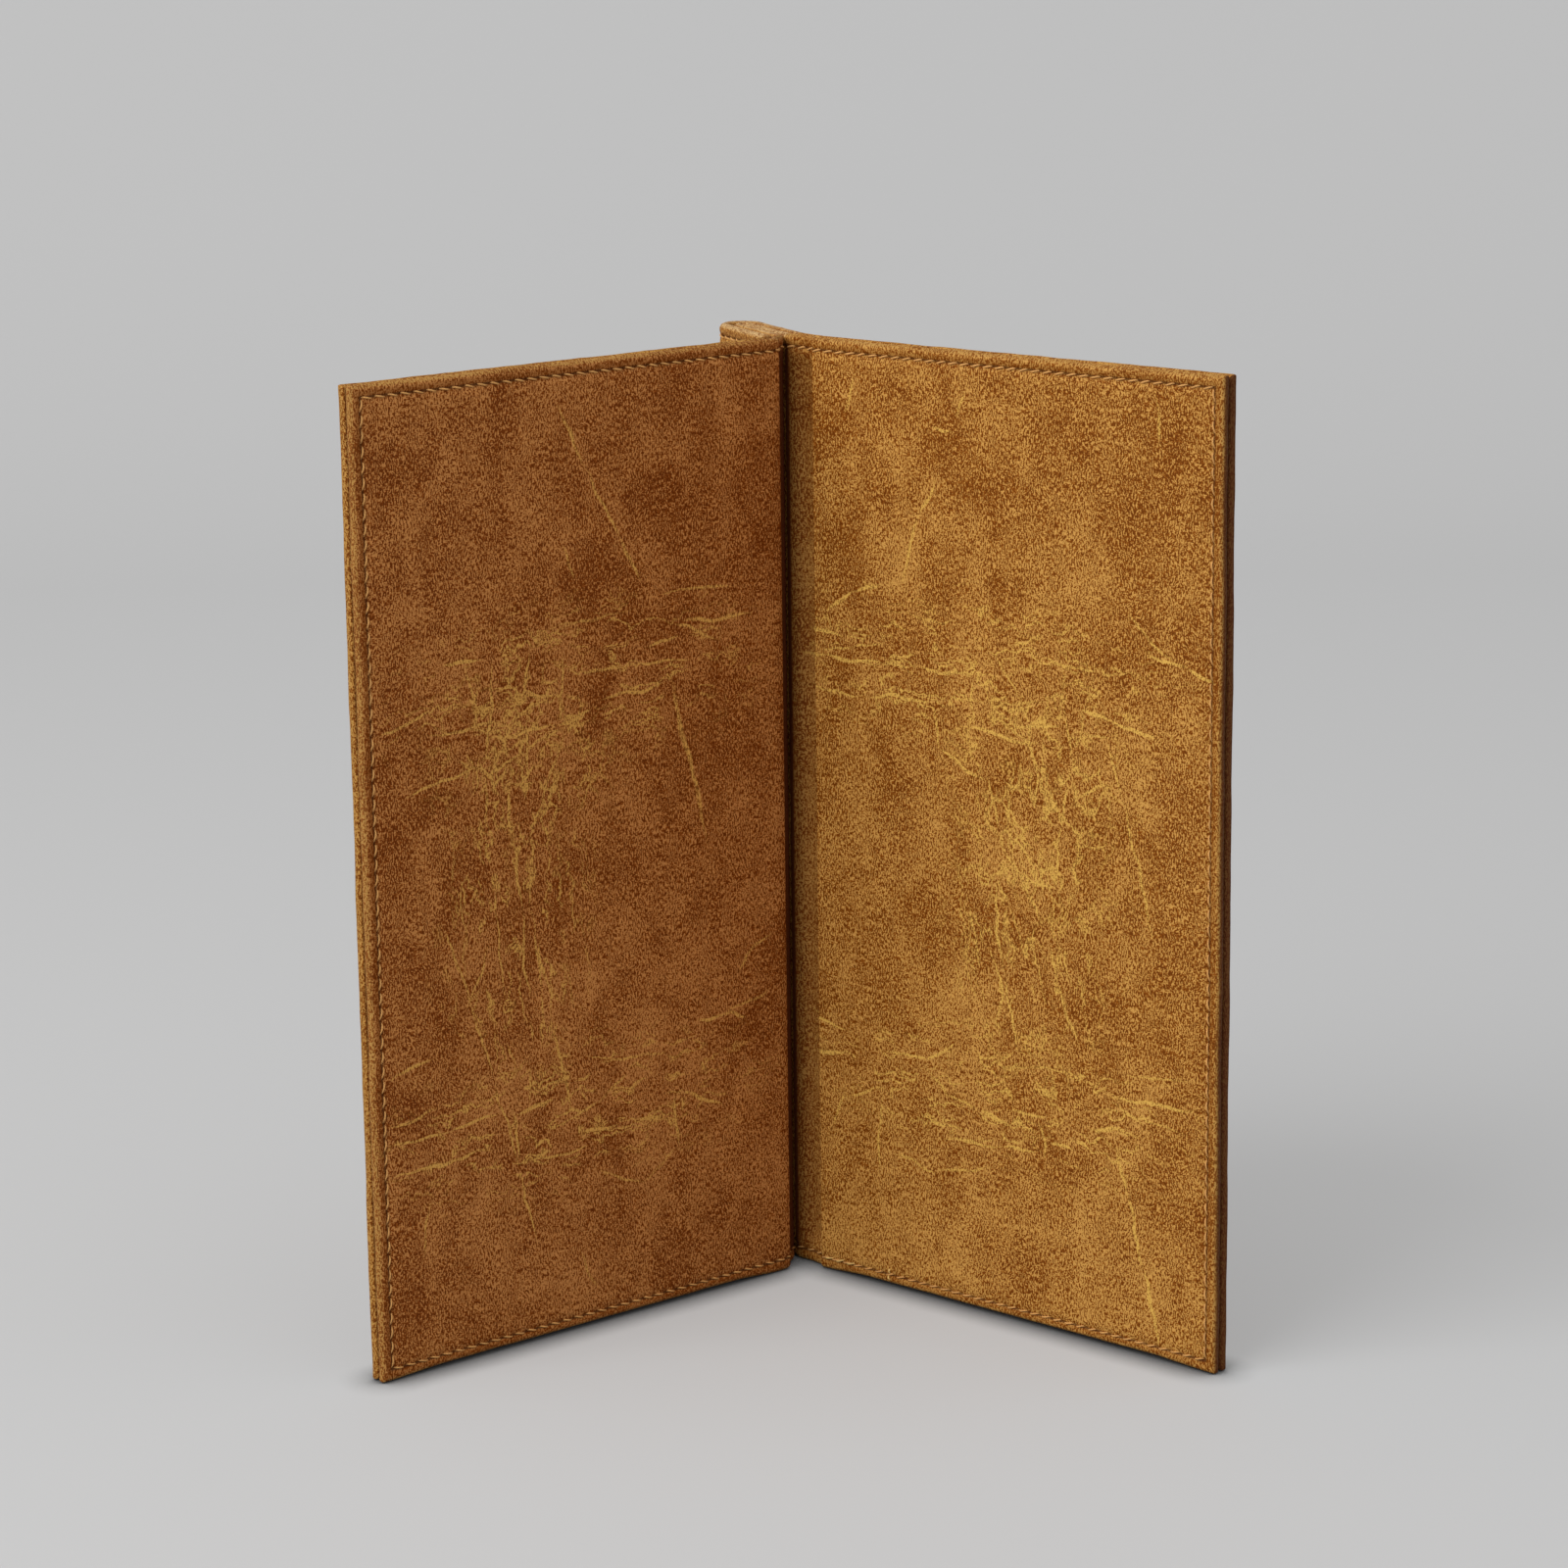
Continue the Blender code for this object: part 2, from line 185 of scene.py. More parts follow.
class NotebookSizes(bpy.types.PropertyGroup):
    """Sizes of the leatherwork that can be changed without the solids."""

    stitch_pitch: FloatProperty(
        name="Stitch pitch", description="Length of one stitch", default=0.00345, unit="LENGTH"
    )
    stitch_inset: FloatProperty(
        name="Stitch inset", description="From the edge to the seam", default=0.003, unit="LENGTH"
    )
    thread: FloatProperty(
        name="Thread", description="Diameter of the thread", default=0.00046, unit="LENGTH"
    )
    seam_depth: FloatProperty(
        name="Seam depth",
        description="How far the seam pulls the leather in",
        default=0.00024,
        unit="LENGTH",
    )
    hole_depth: FloatProperty(
        name="Hole depth", description="Extra pull at each needle hole", default=0.00045, unit="LENGTH"
    )
    corner_round: FloatProperty(
        name="Corner round", description="Rounding of the fore-edge corners", default=0.0007, unit="LENGTH"
    )
    edge_wander: FloatProperty(
        name="Edge wander",
        description="How far a folded edge strays from a line",
        default=0.00014,
        unit="LENGTH",
    )
    lining_dip: FloatProperty(
        name="Lining dip",
        description="Depth of the trough in the lining at a hinge",
        default=0.0030,
        unit="LENGTH",
    )
    hide_dip: FloatProperty(
        name="Hide dip", description="Depth of the trough outside a hinge", default=0.0, unit="LENGTH"
    )
    standing_gap: FloatProperty(
        name="Standing gap",
        description="How far a lining's lower edge stays off the table",
        default=0.0007,
        unit="LENGTH",
    )
    seed: IntProperty(name="Seed", description="Start of the seeded irregularities", default=7)


class NotebookFinish(bpy.types.PropertyGroup):
    """Colours of the leather, thread, board and metal, in linear light."""

    dark_brown: FloatVectorProperty(
        name="Dark brown",
        description="Darkest clouds of the leather",
        default=(0.252, 0.064, 0.002),
        subtype="COLOR",
    )
    brown: FloatVectorProperty(
        name="Brown",
        description="Body colour of the leather",
        default=(0.332, 0.125, 0.016),
        subtype="COLOR",
    )
    golden: FloatVectorProperty(
        name="Golden",
        description="Lightest clouds of the leather",
        default=(0.470, 0.240, 0.056),
        subtype="COLOR",
    )
    vein: FloatVectorProperty(
        name="Pulled up",
        description="Leather pulled up in creases",
        default=(0.70, 0.41, 0.085),
        subtype="COLOR",
    )
    # Partly rubbed wear and partly a painted highlight on folded edges that face the light
    edge: FloatVectorProperty(
        name="Edge", description="Rubbed folded edges", default=(0.42, 0.225, 0.058), subtype="COLOR"
    )
    thread: FloatVectorProperty(
        name="Thread", description="Sewing thread", default=(0.90, 0.46, 0.14), subtype="COLOR"
    )
    greyboard: FloatVectorProperty(
        name="Greyboard",
        description="Board inside covers and strips",
        default=(0.36, 0.33, 0.29),
        subtype="COLOR",
    )
    brass: FloatVectorProperty(
        name="Brass", description="Screw posts", default=(0.78, 0.58, 0.26), subtype="COLOR"
    )


class NotebookStage(bpy.types.PropertyGroup):
    """Camera, key lamp, light from all round and backdrop."""

    lens: FloatProperty(name="Lens", description="Focal length in millimetres", default=100.3)
    camera_place: FloatVectorProperty(
        name="Camera",
        description="Place of the camera",
        default=(-0.00175, -1.0046, 0.3535),
        subtype="TRANSLATION",
    )
    camera_pitch: FloatProperty(
        name="Pitch", description="Camera's tilt below level", default=math.radians(12.7), subtype="ANGLE"
    )
    camera_roll: FloatProperty(
        name="Roll",
        description="Camera's turn about its own axis",
        default=math.radians(-0.71),
        subtype="ANGLE",
    )
    floor: FloatVectorProperty(
        name="Floor", description="Colour of floor and backdrop", default=(0.30, 0.30, 0.30), subtype="COLOR"
    )
    key_power: FloatProperty(name="Key lamp", description="Power in watts", default=29.0)
    sky: FloatProperty(name="Sky", description="Strength of the light from all round", default=0.72)
    paleness: FloatProperty(
        name="Paleness", description="How much lighter the camera sees the backdrop", default=0.27
    )


def smooth(t):
    """Smooth step: three t squared less two t cubed, with t held between 0 and 1."""
    t = np.clip(t, 0.0, 1.0)
    return t * t * (3.0 - 2.0 * t)


def roll(depth, radius):
    """Height of a quarter round, as a share of its radius, at a depth in from its edge."""
    t = np.clip(depth / radius, 0.0, 1.0)
    return np.sqrt(1.0 - (1.0 - t) ** 2)


def rolled_over(depth):
    """Extra length of leather in a folded edge, left of a depth in from it: 0 past the fold."""
    t = np.clip(depth / FOLD, 0.0, 1.0)
    return FOLD * (np.arccos(1.0 - t) - t - math.pi / 2 + 1.0)


def wander(x, seed, longest, amount):
    """A line that strays: sines of falling wavelength, with seeded phases, added up."""
    parts = np.array([1.0, 1.7, 2.9, 4.7, 7.9])
    phases = np.random.default_rng(seed).uniform(0.0, 2.0 * math.pi, len(parts))
    waves = np.sin(2.0 * math.pi * x[..., None] * parts / longest + phases)
    return amount * (waves / parts**0.7).sum(-1) / 2.0


def to_world(x, y, z):
    """Points in the binding's own axes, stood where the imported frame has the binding."""
    flat = ORIGIN + x[..., None] * ALONG + y[..., None] * ACROSS
    return np.concatenate([flat, z[..., None]], axis=-1)


def cover_line(side, opened):
    """Middle line of a strip, its hinge and its cover, from above: straight, an arc, straight.

    Returns a function of the length s, which is 0 at the end of the strip. It gives the point
    and the unit normal on the lining's side.
    """
    radius = PIVOT / math.tan(opened / 2)
    bend = radius * opened

    def line(s):
        turn = np.clip(s / radius, 0.0, opened)
        before, after = np.minimum(s, 0.0), np.maximum(s - bend, 0.0)
        x = -before - radius * np.sin(turn) - after * math.cos(opened)
        y = STRIP_MID + radius * (1.0 - np.cos(turn)) + after * math.sin(opened)
        return x, side * y, -np.sin(turn), -side * np.cos(turn)

    return line


def spine_line(s):
    """Middle line of the two strips and the fold between them, with its outward normal."""
    turn = np.clip((s - STRIP_WIDTH) / STRIP_MID, 0.0, math.pi)
    before = np.minimum(s - STRIP_WIDTH, 0.0)
    after = np.maximum(s - STRIP_WIDTH - math.pi * STRIP_MID, 0.0)
    x = STRIP_WIDTH + before - after + STRIP_MID * np.sin(turn)
    return x, STRIP_MID * np.cos(turn), np.sin(turn), np.cos(turn)


def cover_sheet(side, opened, face, sizes, seed):
    """One leather of a cover and its hinge. face is 1 for the lining and -1 for the hide.

    At the hinge the lining sinks until it lies on the hide. The front one, which bends most, keeps
    a shoulder's width flat beyond its board.
    """
    radius = PIVOT / math.tan(opened / 2)
    bend = radius * opened
    marks = np.array([0.0, bend, bend + BOARD_WIDTH])
    skin = np.array([0.0, bend * (1.0 + face * COVER / 2 / radius), 0.0])
    skin[2] = skin[1] + BOARD_WIDTH
    line = cover_line(side, opened)
    hinge = {"bend": bend, "dip": sizes.hide_dip, "sink": HIDE_SINK, "shoulder": 0.0, "soil": HIDE_SOIL}
    # A hide's hinge is darkened by dirt; a lining's hinge gets painted shade, as it lies in the shadow of
    # the boards
    if face > 0:
        hinge.update(dip=sizes.lining_dip, sink=sizes.lining_dip / 2, soil=WIDE_HINGE_SHADE)
        if opened > TIGHT:
            hinge.update(shoulder=SHOULDER, soil=TIGHT_HINGE_SHADE)
    return SimpleNamespace(
        line=line, face=face, marks=marks, skin=skin, fore=True, seed=seed, **hinge
    )


def spine_sheet(face, seed):
    """One leather of the binding block. face is 1 for the hide and -1 for the lining."""
    marks = np.cumsum([0.0, STRIP_WIDTH, math.pi * STRIP_MID, STRIP_WIDTH])
    skin = np.cumsum([0.0, STRIP_WIDTH, math.pi * (STRIP_MID + face * COVER / 2), STRIP_WIDTH])
    hinge = {"bend": 0.0, "dip": 0.0, "sink": 0.0, "shoulder": 0.0, "soil": (0.0, 0.0)}
    return SimpleNamespace(
        line=spine_line, face=face, marks=marks, skin=skin, fore=False, seed=seed, **hinge
    )


def skin_length(sheet, s):
    """Length along the leather's outside for a length along the middle line."""
    return np.interp(s, sheet.marks, sheet.skin)


def middle_length(sheet, f):
    """Length along the middle line for a length along the leather's outside."""
    return np.interp(f, sheet.skin, sheet.marks)


def seam_pitch(sheet, sizes):
    """Stitch pitch along top and bottom, evened out so that a whole number of stitches fits."""
    run = sheet.skin[-1] - (sizes.stitch_inset if sheet.fore else 0.0)
    return run / round(run / sizes.stitch_pitch)


def edge_pitch(sizes):
    """Stitch pitch along the height, evened out in the same way."""
    run = HEIGHT - 2 * sizes.stitch_inset
    return run / round(run / sizes.stitch_pitch)


def edge_depths():
    """Depths in from a folded edge at which the grid has lines, from the edge to the seam."""
    turns = np.linspace(0.0, math.pi / 2, FOLD_STEPS + 1)
    return np.concatenate([FOLD * (1.0 - np.cos(turns)), [0.0016, 0.0020, 0.00235, 0.0027]])


def grid_rows(sizes):
    """Heights of the grid's rows: close at the folded edges, quarter stitches between."""
    count = round((HEIGHT - 2 * sizes.stitch_inset) / edge_pitch(sizes)) * SAMPLES_PER_STITCH
    between = np.linspace(sizes.stitch_inset, HEIGHT - sizes.stitch_inset, count + 1)
    edge = edge_depths()
    return np.concatenate([edge, between, HEIGHT - edge[::-1]])


def grid_columns(sheet, sizes):
    """Lengths of the grid's columns: quarter stitches, then close at the fore-edge."""
    end = sheet.skin[-1]
    last = end - sizes.stitch_inset if sheet.fore else end
    count = round(last / seam_pitch(sheet, sizes)) * SAMPLES_PER_STITCH
    columns = np.linspace(0.0, last, count + 1)
    if sheet.fore:
        beside_board = sheet.skin[1] - sheet.shoulder + STEP_COLUMNS
        columns = np.sort(np.concatenate([columns, beside_board, end - edge_depths()[::-1]]))
    return middle_length(sheet, columns)


def fore_depth(sheet, s):
    """Depth in from the fore-edge. A sheet without one is treated as very wide."""
    return sheet.marks[-1] - s if sheet.fore else np.full_like(s, 1.0)


def hinge_share(sheet, s):
    """How far the leather has sunk at the hinge, from 0 to 1: at once by the board, slowly by the strip."""
    if not sheet.bend:
        return np.zeros_like(s)
    return smooth((sheet.bend - sheet.shoulder - s) / STEP_RUN) * smooth(s / (RISE_SHARE * sheet.bend))


def hinge_dirt_and_shade(sheet, s, z):
    """How dark the hinge is painted: most by the strip and none at the top and bottom edges.

    On a hide this is dirt. On a lining it is painted shade, as the hinge lies in the shadow of the
    boards. It is less towards the board, except in a tight hinge, which is dark all through. A lining
    whose hinge stays wide also has a black painted shadow in the cleft where it leaves the strip.
    """
    most, cleft = sheet.soil
    edges = smooth((np.minimum(z, HEIGHT - z) - HINGE_DARK_MARGIN) / HINGE_DARK_FADE)
    beyond = sheet.bend - sheet.shoulder - s
    fade = 1.0 if sheet.soil == TIGHT_HINGE_SHADE else 0.6 + 0.4 * smooth(beyond / max(sheet.bend, 1e-6))
    dark = most * fade * smooth(beyond / HINGE_DARK_RUN)
    return edges * np.maximum(dark, cleft * smooth((CLEFT_SHADE_REACH - s) / CLEFT_SHADE_RUN))


def lobe(sheet, s, z):
    """Outer and inner face of a folded edge. Its two plies are pared thin where the hinge sinks.

    The sewn margins at top and bottom sink half as far.
    """
    inside = smooth((np.minimum(z, HEIGHT - z) - SEWN_MARGIN) / MARGIN_FADE)
    share = hinge_share(sheet, s) * (0.5 + 0.5 * inside)
    return COVER / 2 - sheet.dip * share, CLEARANCE / 2 - sheet.sink * share


def needle_holes(sheet, sizes, s, z):
    """A round dent at each needle hole of the seam along bottom, fore-edge and top."""
    inset = sizes.stitch_inset
    f = skin_length(sheet, s)
    start = sheet.skin[-1] - (inset if sheet.fore else 0.0)
    pitch, rise = seam_pitch(sheet, sizes), edge_pitch(sizes)
    along = (start - f) / pitch
    off_along = np.where(along > -0.01, np.abs(along - np.round(along)) * pitch, 1.0)
    off_edge = np.minimum(z, HEIGHT - z) - inset
    dents = np.exp(-(off_along**2 + off_edge**2) / (2 * HOLE_SPREAD**2))
    if sheet.fore:
        up = (z - inset) / rise
        inside = (up > -0.01) & (HEIGHT - inset - z > -0.01 * rise)
        off_up = np.where(inside, np.abs(up - np.round(up)) * rise, 1.0)
        off_fore = fore_depth(sheet, s) - inset
        dents = np.maximum(dents, np.exp(-(off_up**2 + off_fore**2) / (2 * HOLE_SPREAD**2)))
    return dents


def skin_reach(sheet, sizes, s, z):
    """Distance of the leather's outside from the middle line.

    A folded edge rolls up to the face as a quarter round. The seam is a bell-shaped channel with a
    dent at each hole, and inside it the face swells and sinks a little, by sums of sines.
    """
    depth = np.minimum(np.minimum(z, HEIGHT - z), fore_depth(sheet, s))
    outer, inner = lobe(sheet, s, z)
    reach = (outer + inner) / 2 + (outer - inner) / 2 * roll(depth, FOLD)
    off_seam = (depth - sizes.stitch_inset) / SEAM_SPREAD
    reach = reach - sizes.seam_depth * np.exp(-(off_seam**2))
    reach = reach - sizes.hole_depth * needle_holes(sheet, sizes, s, z)
    ends = smooth((s - sheet.bend) / 0.02) * smooth((sheet.marks[-1] - s) / 0.02)
    ends = ends * smooth((depth - EDGE_BAND) / 0.015)
    swell = wander(s * 0.8 + z * 0.6, sheet.seed + 1, 0.055, 1.0)
    swell = swell + wander(z - s * 0.5, sheet.seed + 2, 0.043, 1.0)
    return reach + SWELL * swell * ends


def settle(sheet, sizes, s, z):
    """Place of a point within the sheet: rounded fore-edge corners and edges that stray.

    A corner square is mapped to a quarter disc: each share is scaled by the root of one less
    half the other share squared. Bottom edges only stray upwards, so the cover stands flat.
    """
    if sheet.fore:
        size = sizes.corner_round
        end = sheet.marks[-1]
        for top in (False, True):
            a = np.clip(1.0 - (end - s) / size, 0.0, 1.0)
            b = np.clip(1.0 - (HEIGHT - z if top else z) / size, 0.0, 1.0)
            move_s = size * a * (1.0 - np.sqrt(1.0 - b * b / 2.0))
            move_z = size * b * (1.0 - np.sqrt(1.0 - a * a / 2.0))
            s = s - move_s
            z = z - move_z if top else z + move_z
        near = smooth(1.0 - (end - s) / EDGE_BAND)
        s = s - near * (sizes.edge_wander + wander(z, sheet.seed + 3, 0.07, sizes.edge_wander))
    beyond = sheet.marks[-1] - s
    fade = smooth((s - sheet.bend) / 0.015) if sheet.fore else smooth(s / 0.01) * smooth(beyond / 0.01)
    low, high = smooth(1.0 - z / EDGE_BAND), smooth(1.0 - (HEIGHT - z) / EDGE_BAND)
    z = z - high * fade * np.abs(wander(s, sheet.seed + 4, 0.06, sizes.edge_wander))
    bow = smooth(beyond / 0.02) if sheet.fore and sheet.face > 0 else 0.0
    lift = bow * sizes.standing_gap + np.abs(wander(s, sheet.seed + 5, 0.06, 0.5 * sizes.edge_wander))
    return s, z + low * fade * lift


def laid(sheet, s, z, reach):
    """Points of a sheet: out from its middle line by the reach, then stood in the frame."""
    x, y, nx, ny = sheet.line(s)
    return to_world(x + nx * sheet.face * reach, y + ny * sheet.face * reach, z)


def new_piece(name, points, faces, uv, marks=None, uv_name="hide", sharp=55.0):
    """A mesh object at the origin, with its faces turned outwards and smooth shading."""
    mesh = bpy.data.meshes.new(name)
    mesh.from_pydata(points.tolist(), [], faces)
    shape = bmesh.new()
    shape.from_mesh(mesh)
    if shape.calc_volume(signed=True) < 0.0:
        bmesh.ops.reverse_faces(shape, faces=shape.faces[:])
        shape.to_mesh(mesh)
    shape.free()
    corners = np.empty(len(mesh.loops), np.int32)
    mesh.loops.foreach_get("vertex_index", corners)
    mesh.uv_layers.new(name=uv_name).data.foreach_set("uv", uv[corners].astype(np.float32).ravel())
    for mark, values in (marks or {}).items():
        mesh.attributes.new(mark, "FLOAT", "POINT").data.foreach_set("value", values.astype(np.float32))
    mesh.shade_smooth()
    mesh.set_sharp_from_angle(angle=math.radians(sharp))
    piece = bpy.data.objects.new(name, mesh)
    bpy.context.scene.collection.objects.link(piece)
    return piece


def quads(across, along):
    """Corner numbers of the quads of a grid, counted along its second direction."""
    i, j = np.meshgrid(np.arange(across - 1), np.arange(along - 1), indexing="ij")
    first = (i * along + j).ravel()
    return np.stack([first, first + along, first + along + 1, first + 1], axis=1)


def folded_sheet(name, sheet, sizes):
    """A leather with its margins turned in: a skin, a rolled edge, a hem and a pocket behind.

    The skin is a grid over length and height. Rings then run round its border: half a roll
    to the back of the fold, the hem, and the wall of the pocket that holds the board. The
    pocket's floor is one long face for each column.
    """
    columns, rows = grid_columns(sheet, sizes), grid_rows(sizes)
    across, along = len(columns), len(rows)
    s, z = np.meshgrid(columns, rows, indexing="ij")
    reach = skin_reach(sheet, sizes, s, z)
    depth = np.minimum(np.minimum(z, HEIGHT - z), fore_depth(sheet, s))
    flat_u = skin_length(sheet, s) - rolled_over(fore_depth(sheet, s))
    flat_v = z + rolled_over(z) - rolled_over(HEIGHT - z)
    s_in, z_in = settle(sheet, sizes, s, z)
    points = [laid(sheet, s_in, z_in, reach).reshape(-1, 3)]
    flats = [np.stack([flat_u, flat_v], axis=-1).reshape(-1, 2)]
    rims, soil = [depth.ravel()], [hinge_dirt_and_shade(sheet, s, z).ravel()]
    faces = [quads(across, along)]

    column, row = np.arange(across), np.arange(along)
    border = np.concatenate(
        [
            column * along,
            (across - 1) * along + row[1:],
            column[-2::-1] * along + along - 1,
            row[-2:0:-1],
        ]
    )
    ways = np.array([[0.0, -1.0], [1.0, 0.0], [0.0, 1.0], [-1.0, 0.0]])
    outward = np.repeat(ways, [across, along - 1, across - 1, along - 2], axis=0)
    border_s, border_z = s.ravel()[border], z.ravel()[border]
    length = sheet.marks[-1]
    rings = [(FOLD * (1 - math.cos(t)), math.sin(t), FOLD * t) for t in np.radians([30.0, 60.0, 90.0])]
    rings += [(HEM, 1.0, HEM), (HEM, None, HEM + LEATHER)]
    count, previous = len(border), border
    total = across * along
    for inset, back, travel in rings:
        ring_s = border_s * (1.0 - inset / length) if sheet.fore else border_s
        ring_z = inset + border_z * (1.0 - 2.0 * inset / HEIGHT)
        outer, inner = lobe(sheet, ring_s, ring_z)
        if back is None:
            ring_reach = outer - LEATHER
        else:
            ring_reach = (outer + inner) / 2 - (outer - inner) / 2 * back
        ring_s, ring_z = settle(sheet, sizes, ring_s, ring_z)
        points.append(laid(sheet, ring_s, ring_z, ring_reach))
        flats.append(flats[0][border] + outward * travel)
        rims.append(np.full(count, -travel))
        soil.append(np.zeros(count))
        ring = total + np.arange(count)
        total += count
        faces.append(np.stack([previous, np.roll(previous, -1), np.roll(ring, -1), ring], axis=1))
        previous = ring

    low, high = previous[:across], previous[across + along - 2 : 2 * across + along - 2][::-1]
    floor = np.stack([low[1:-2], low[2:-1], high[2:-1], high[1:-2]], axis=1)
    near = np.concatenate([[low[1], high[1], high[0]], previous[2 * across + along - 2 :], [low[0]]])
    far = np.concatenate([[high[-2], low[-2]], previous[across - 1 : across + along - 1]])
    all_faces = [face for group in faces + [floor] for face in group.tolist()]
    all_faces += [near.tolist(), far.tolist()]
    marks = {"rim": np.concatenate(rims), "soil": np.concatenate(soil)}
    return new_piece(name, np.concatenate(points), all_faces, np.concatenate(flats), marks)


def seam_holes(sheet, sizes):
    """Needle holes of a sheet's seams as runs of (length on the skin, height) points."""
    inset = sizes.stitch_inset
    end = sheet.skin[-1] - (inset if sheet.fore else 0.0)
    along = np.linspace(0.0, end, round(end / seam_pitch(sheet, sizes)) + 1)
    low = np.stack([along, np.full_like(along, inset)], axis=1)
    high = np.stack([along, np.full_like(along, HEIGHT - inset)], axis=1)
    if not sheet.fore:
        return [low, high]
    count = round((HEIGHT - 2 * inset) / edge_pitch(sizes))
    up = np.linspace(inset, HEIGHT - inset, count + 1)
    fore = np.stack([np.full_like(up, end), up], axis=1)
    return [np.concatenate([low, fore[1:], high[-2::-1]])]


def stitches(name, sheet, sizes, runs, raised=0.0):
    """Sewn thread: a bent tube from each needle hole to the next.

    Along a stitch the thread climbs out of one hole and dives into the other, and leans from
    one side of the seam to the other. Six points go round it, and the ends are capped inside
    the holes.
    """
    rings, sides = STITCH_RINGS, STITCH_SIDES
    first = np.concatenate([run[:-1] for run in runs])
    second = np.concatenate([run[1:] for run in runs])
    chance = np.random.default_rng(sizes.seed + sheet.seed)
    count = len(first)
    length = np.linalg.norm(second - first, axis=1)[:, None]
    ahead = (second - first) / length
    beside = np.stack([-ahead[:, 1], ahead[:, 0]], axis=1)
    t = np.linspace(0.0, 1.0, rings)
    radius = sizes.thread / 2
    lean = STITCH_LEAN + chance.uniform(-0.00008, 0.00008, (count, 1))
    sideways = lean * np.sin((t - 0.5) * math.pi)
    lift = raised + chance.uniform(-0.00003, 0.00004, (count, 1))
    rise = -HOLE_START + (STITCH_RISE + lift) * np.sin(math.pi * t) ** 0.8
    middle = first[:, None, :] + (ahead * length)[:, None, :] * t[:, None]
    middle = middle + beside[:, None, :] * sideways[..., None]
    turn = 2 * math.pi * np.arange(sides) / sides
    width = radius * (0.62 + 0.38 * np.sin(math.pi * t) ** 0.5)
    spread = width[:, None] * np.cos(turn)
    tall = width[:, None] * np.sin(turn)
    flat = middle[:, :, None, :] + beside[:, None, None, :] * spread[None, :, :, None]
    s = middle_length(sheet, flat[..., 0])
    z = flat[..., 1]
    reach = lobe(sheet, s, z)[0] + rise[:, :, None] + tall[None]
    points = laid(sheet, s, z, reach).reshape(-1, 3)
    uv = np.empty((count, rings, sides, 2))
    uv[..., 0] = t[None, :, None] * length[:, :, None] / sizes.thread
    uv[..., 1] = np.arange(sides) / sides
    ring, spot = np.meshgrid(np.arange(rings - 1), np.arange(sides), indexing="ij")
    corner = (ring * sides + spot).ravel()
    beside_corner = (ring * sides + (spot + 1) % sides).ravel()
    tube = np.stack([corner, beside_corner, beside_corner + sides, corner + sides], axis=1)
    starts = np.arange(count)[:, None] * rings * sides
    faces = (starts[:, :, None] + tube[None]).reshape(-1, 4).tolist()
    faces += (starts + np.arange(sides)[::-1]).tolist()
    faces += (starts + (rings - 1) * sides + np.arange(sides)).tolist()
    return new_piece(name, points, faces, uv.reshape(-1, 2), uv_name="twist", sharp=80.0)


def node(tree, kind, inputs=None, **settings):
    """Adds a shader node. A socket among the inputs is linked, and any other value is set."""
    made = tree.nodes.new(kind)
    for key, value in settings.items():
        setattr(made, key, value)
    for key, value in (inputs or {}).items():
        if isinstance(value, bpy.types.NodeSocket):
            tree.links.new(value, made.inputs[key])
        else:
            made.inputs[key].default_value = value
    return made


def maths(tree, operation, first, second=0.0, third=0.0):
    """Output of a Math node."""
    return node(tree, "ShaderNodeMath", {0: first, 1: second, 2: third}, operation=operation).outputs[0]


def ranged(tree, value, low, high, to_low=0.0, to_high=1.0):
    """Output of a Map Range node with smooth ends."""
    inputs = {"Value": value, "From Min": low, "From Max": high, "To Min": to_low, "To Max": to_high}
    return node(tree, "ShaderNodeMapRange", inputs, interpolation_type="SMOOTHSTEP").outputs["Result"]


def mixed(tree, share, first, second):
    """Output of a Mix node for colours."""
    return node(tree, "ShaderNodeMix", {0: share, 6: first, 7: second}, data_type="RGBA").outputs[2]


def noise(tree, vector, scale, detail=2.0, rough=0.5, warp=0.0, flat=False):
    """Value of a Noise texture, over a surface's flat coordinates or through its space."""
    inputs = {"Vector": vector, "Scale": scale, "Detail": detail, "Roughness": rough, "Distortion": warp}
    return node(tree, "ShaderNodeTexNoise", inputs, noise_dimensions="2D" if flat else "3D").outputs["Fac"]


def vectors(tree, operation, first, second=(0.0, 0.0, 0.0), scale=1.0):
    """Vector that a Vector Math node puts out."""
    inputs = {0: first, "Scale": scale} if operation == "SCALE" else {0: first, 1: second}
    return node(tree, "ShaderNodeVectorMath", inputs, operation=operation).outputs["Vector"]


def measure(tree, operation, first, second=(0.0, 0.0, 0.0)):
    """Number that a Vector Math node puts out."""
    return node(tree, "ShaderNodeVectorMath", {0: first, 1: second}, operation=operation).outputs["Value"]


def drifted(tree, hide, scale, detail, amount):
    """Flat coordinates that drift by a noise, so that a pattern on them runs unevenly."""
    inputs = {"Vector": hide, "Scale": scale, "Detail": detail}
    drift = node(tree, "ShaderNodeTexNoise", inputs, noise_dimensions="2D").outputs["Color"]
    drift = vectors(tree, "SUBTRACT", drift, (0.5, 0.5, 0.5))
    return vectors(tree, "ADD", hide, vectors(tree, "SCALE", drift, scale=amount))


def new_group(name, takes, gives):
    """An empty node group with the named sockets. Returns the tree and its two end nodes."""
    tree = bpy.data.node_groups.new(name, "ShaderNodeTree")
    for label, kind in takes:
        tree.interface.new_socket(name=label, in_out="INPUT", socket_type=kind)
    for label, kind in gives:
        tree.interface.new_socket(name=label, in_out="OUTPUT", socket_type=kind)
    return tree, tree.nodes.new("NodeGroupInput").outputs, tree.nodes.new("NodeGroupOutput").inputs


VALUE, VECTOR = "NodeSocketFloat", "NodeSocketVector"


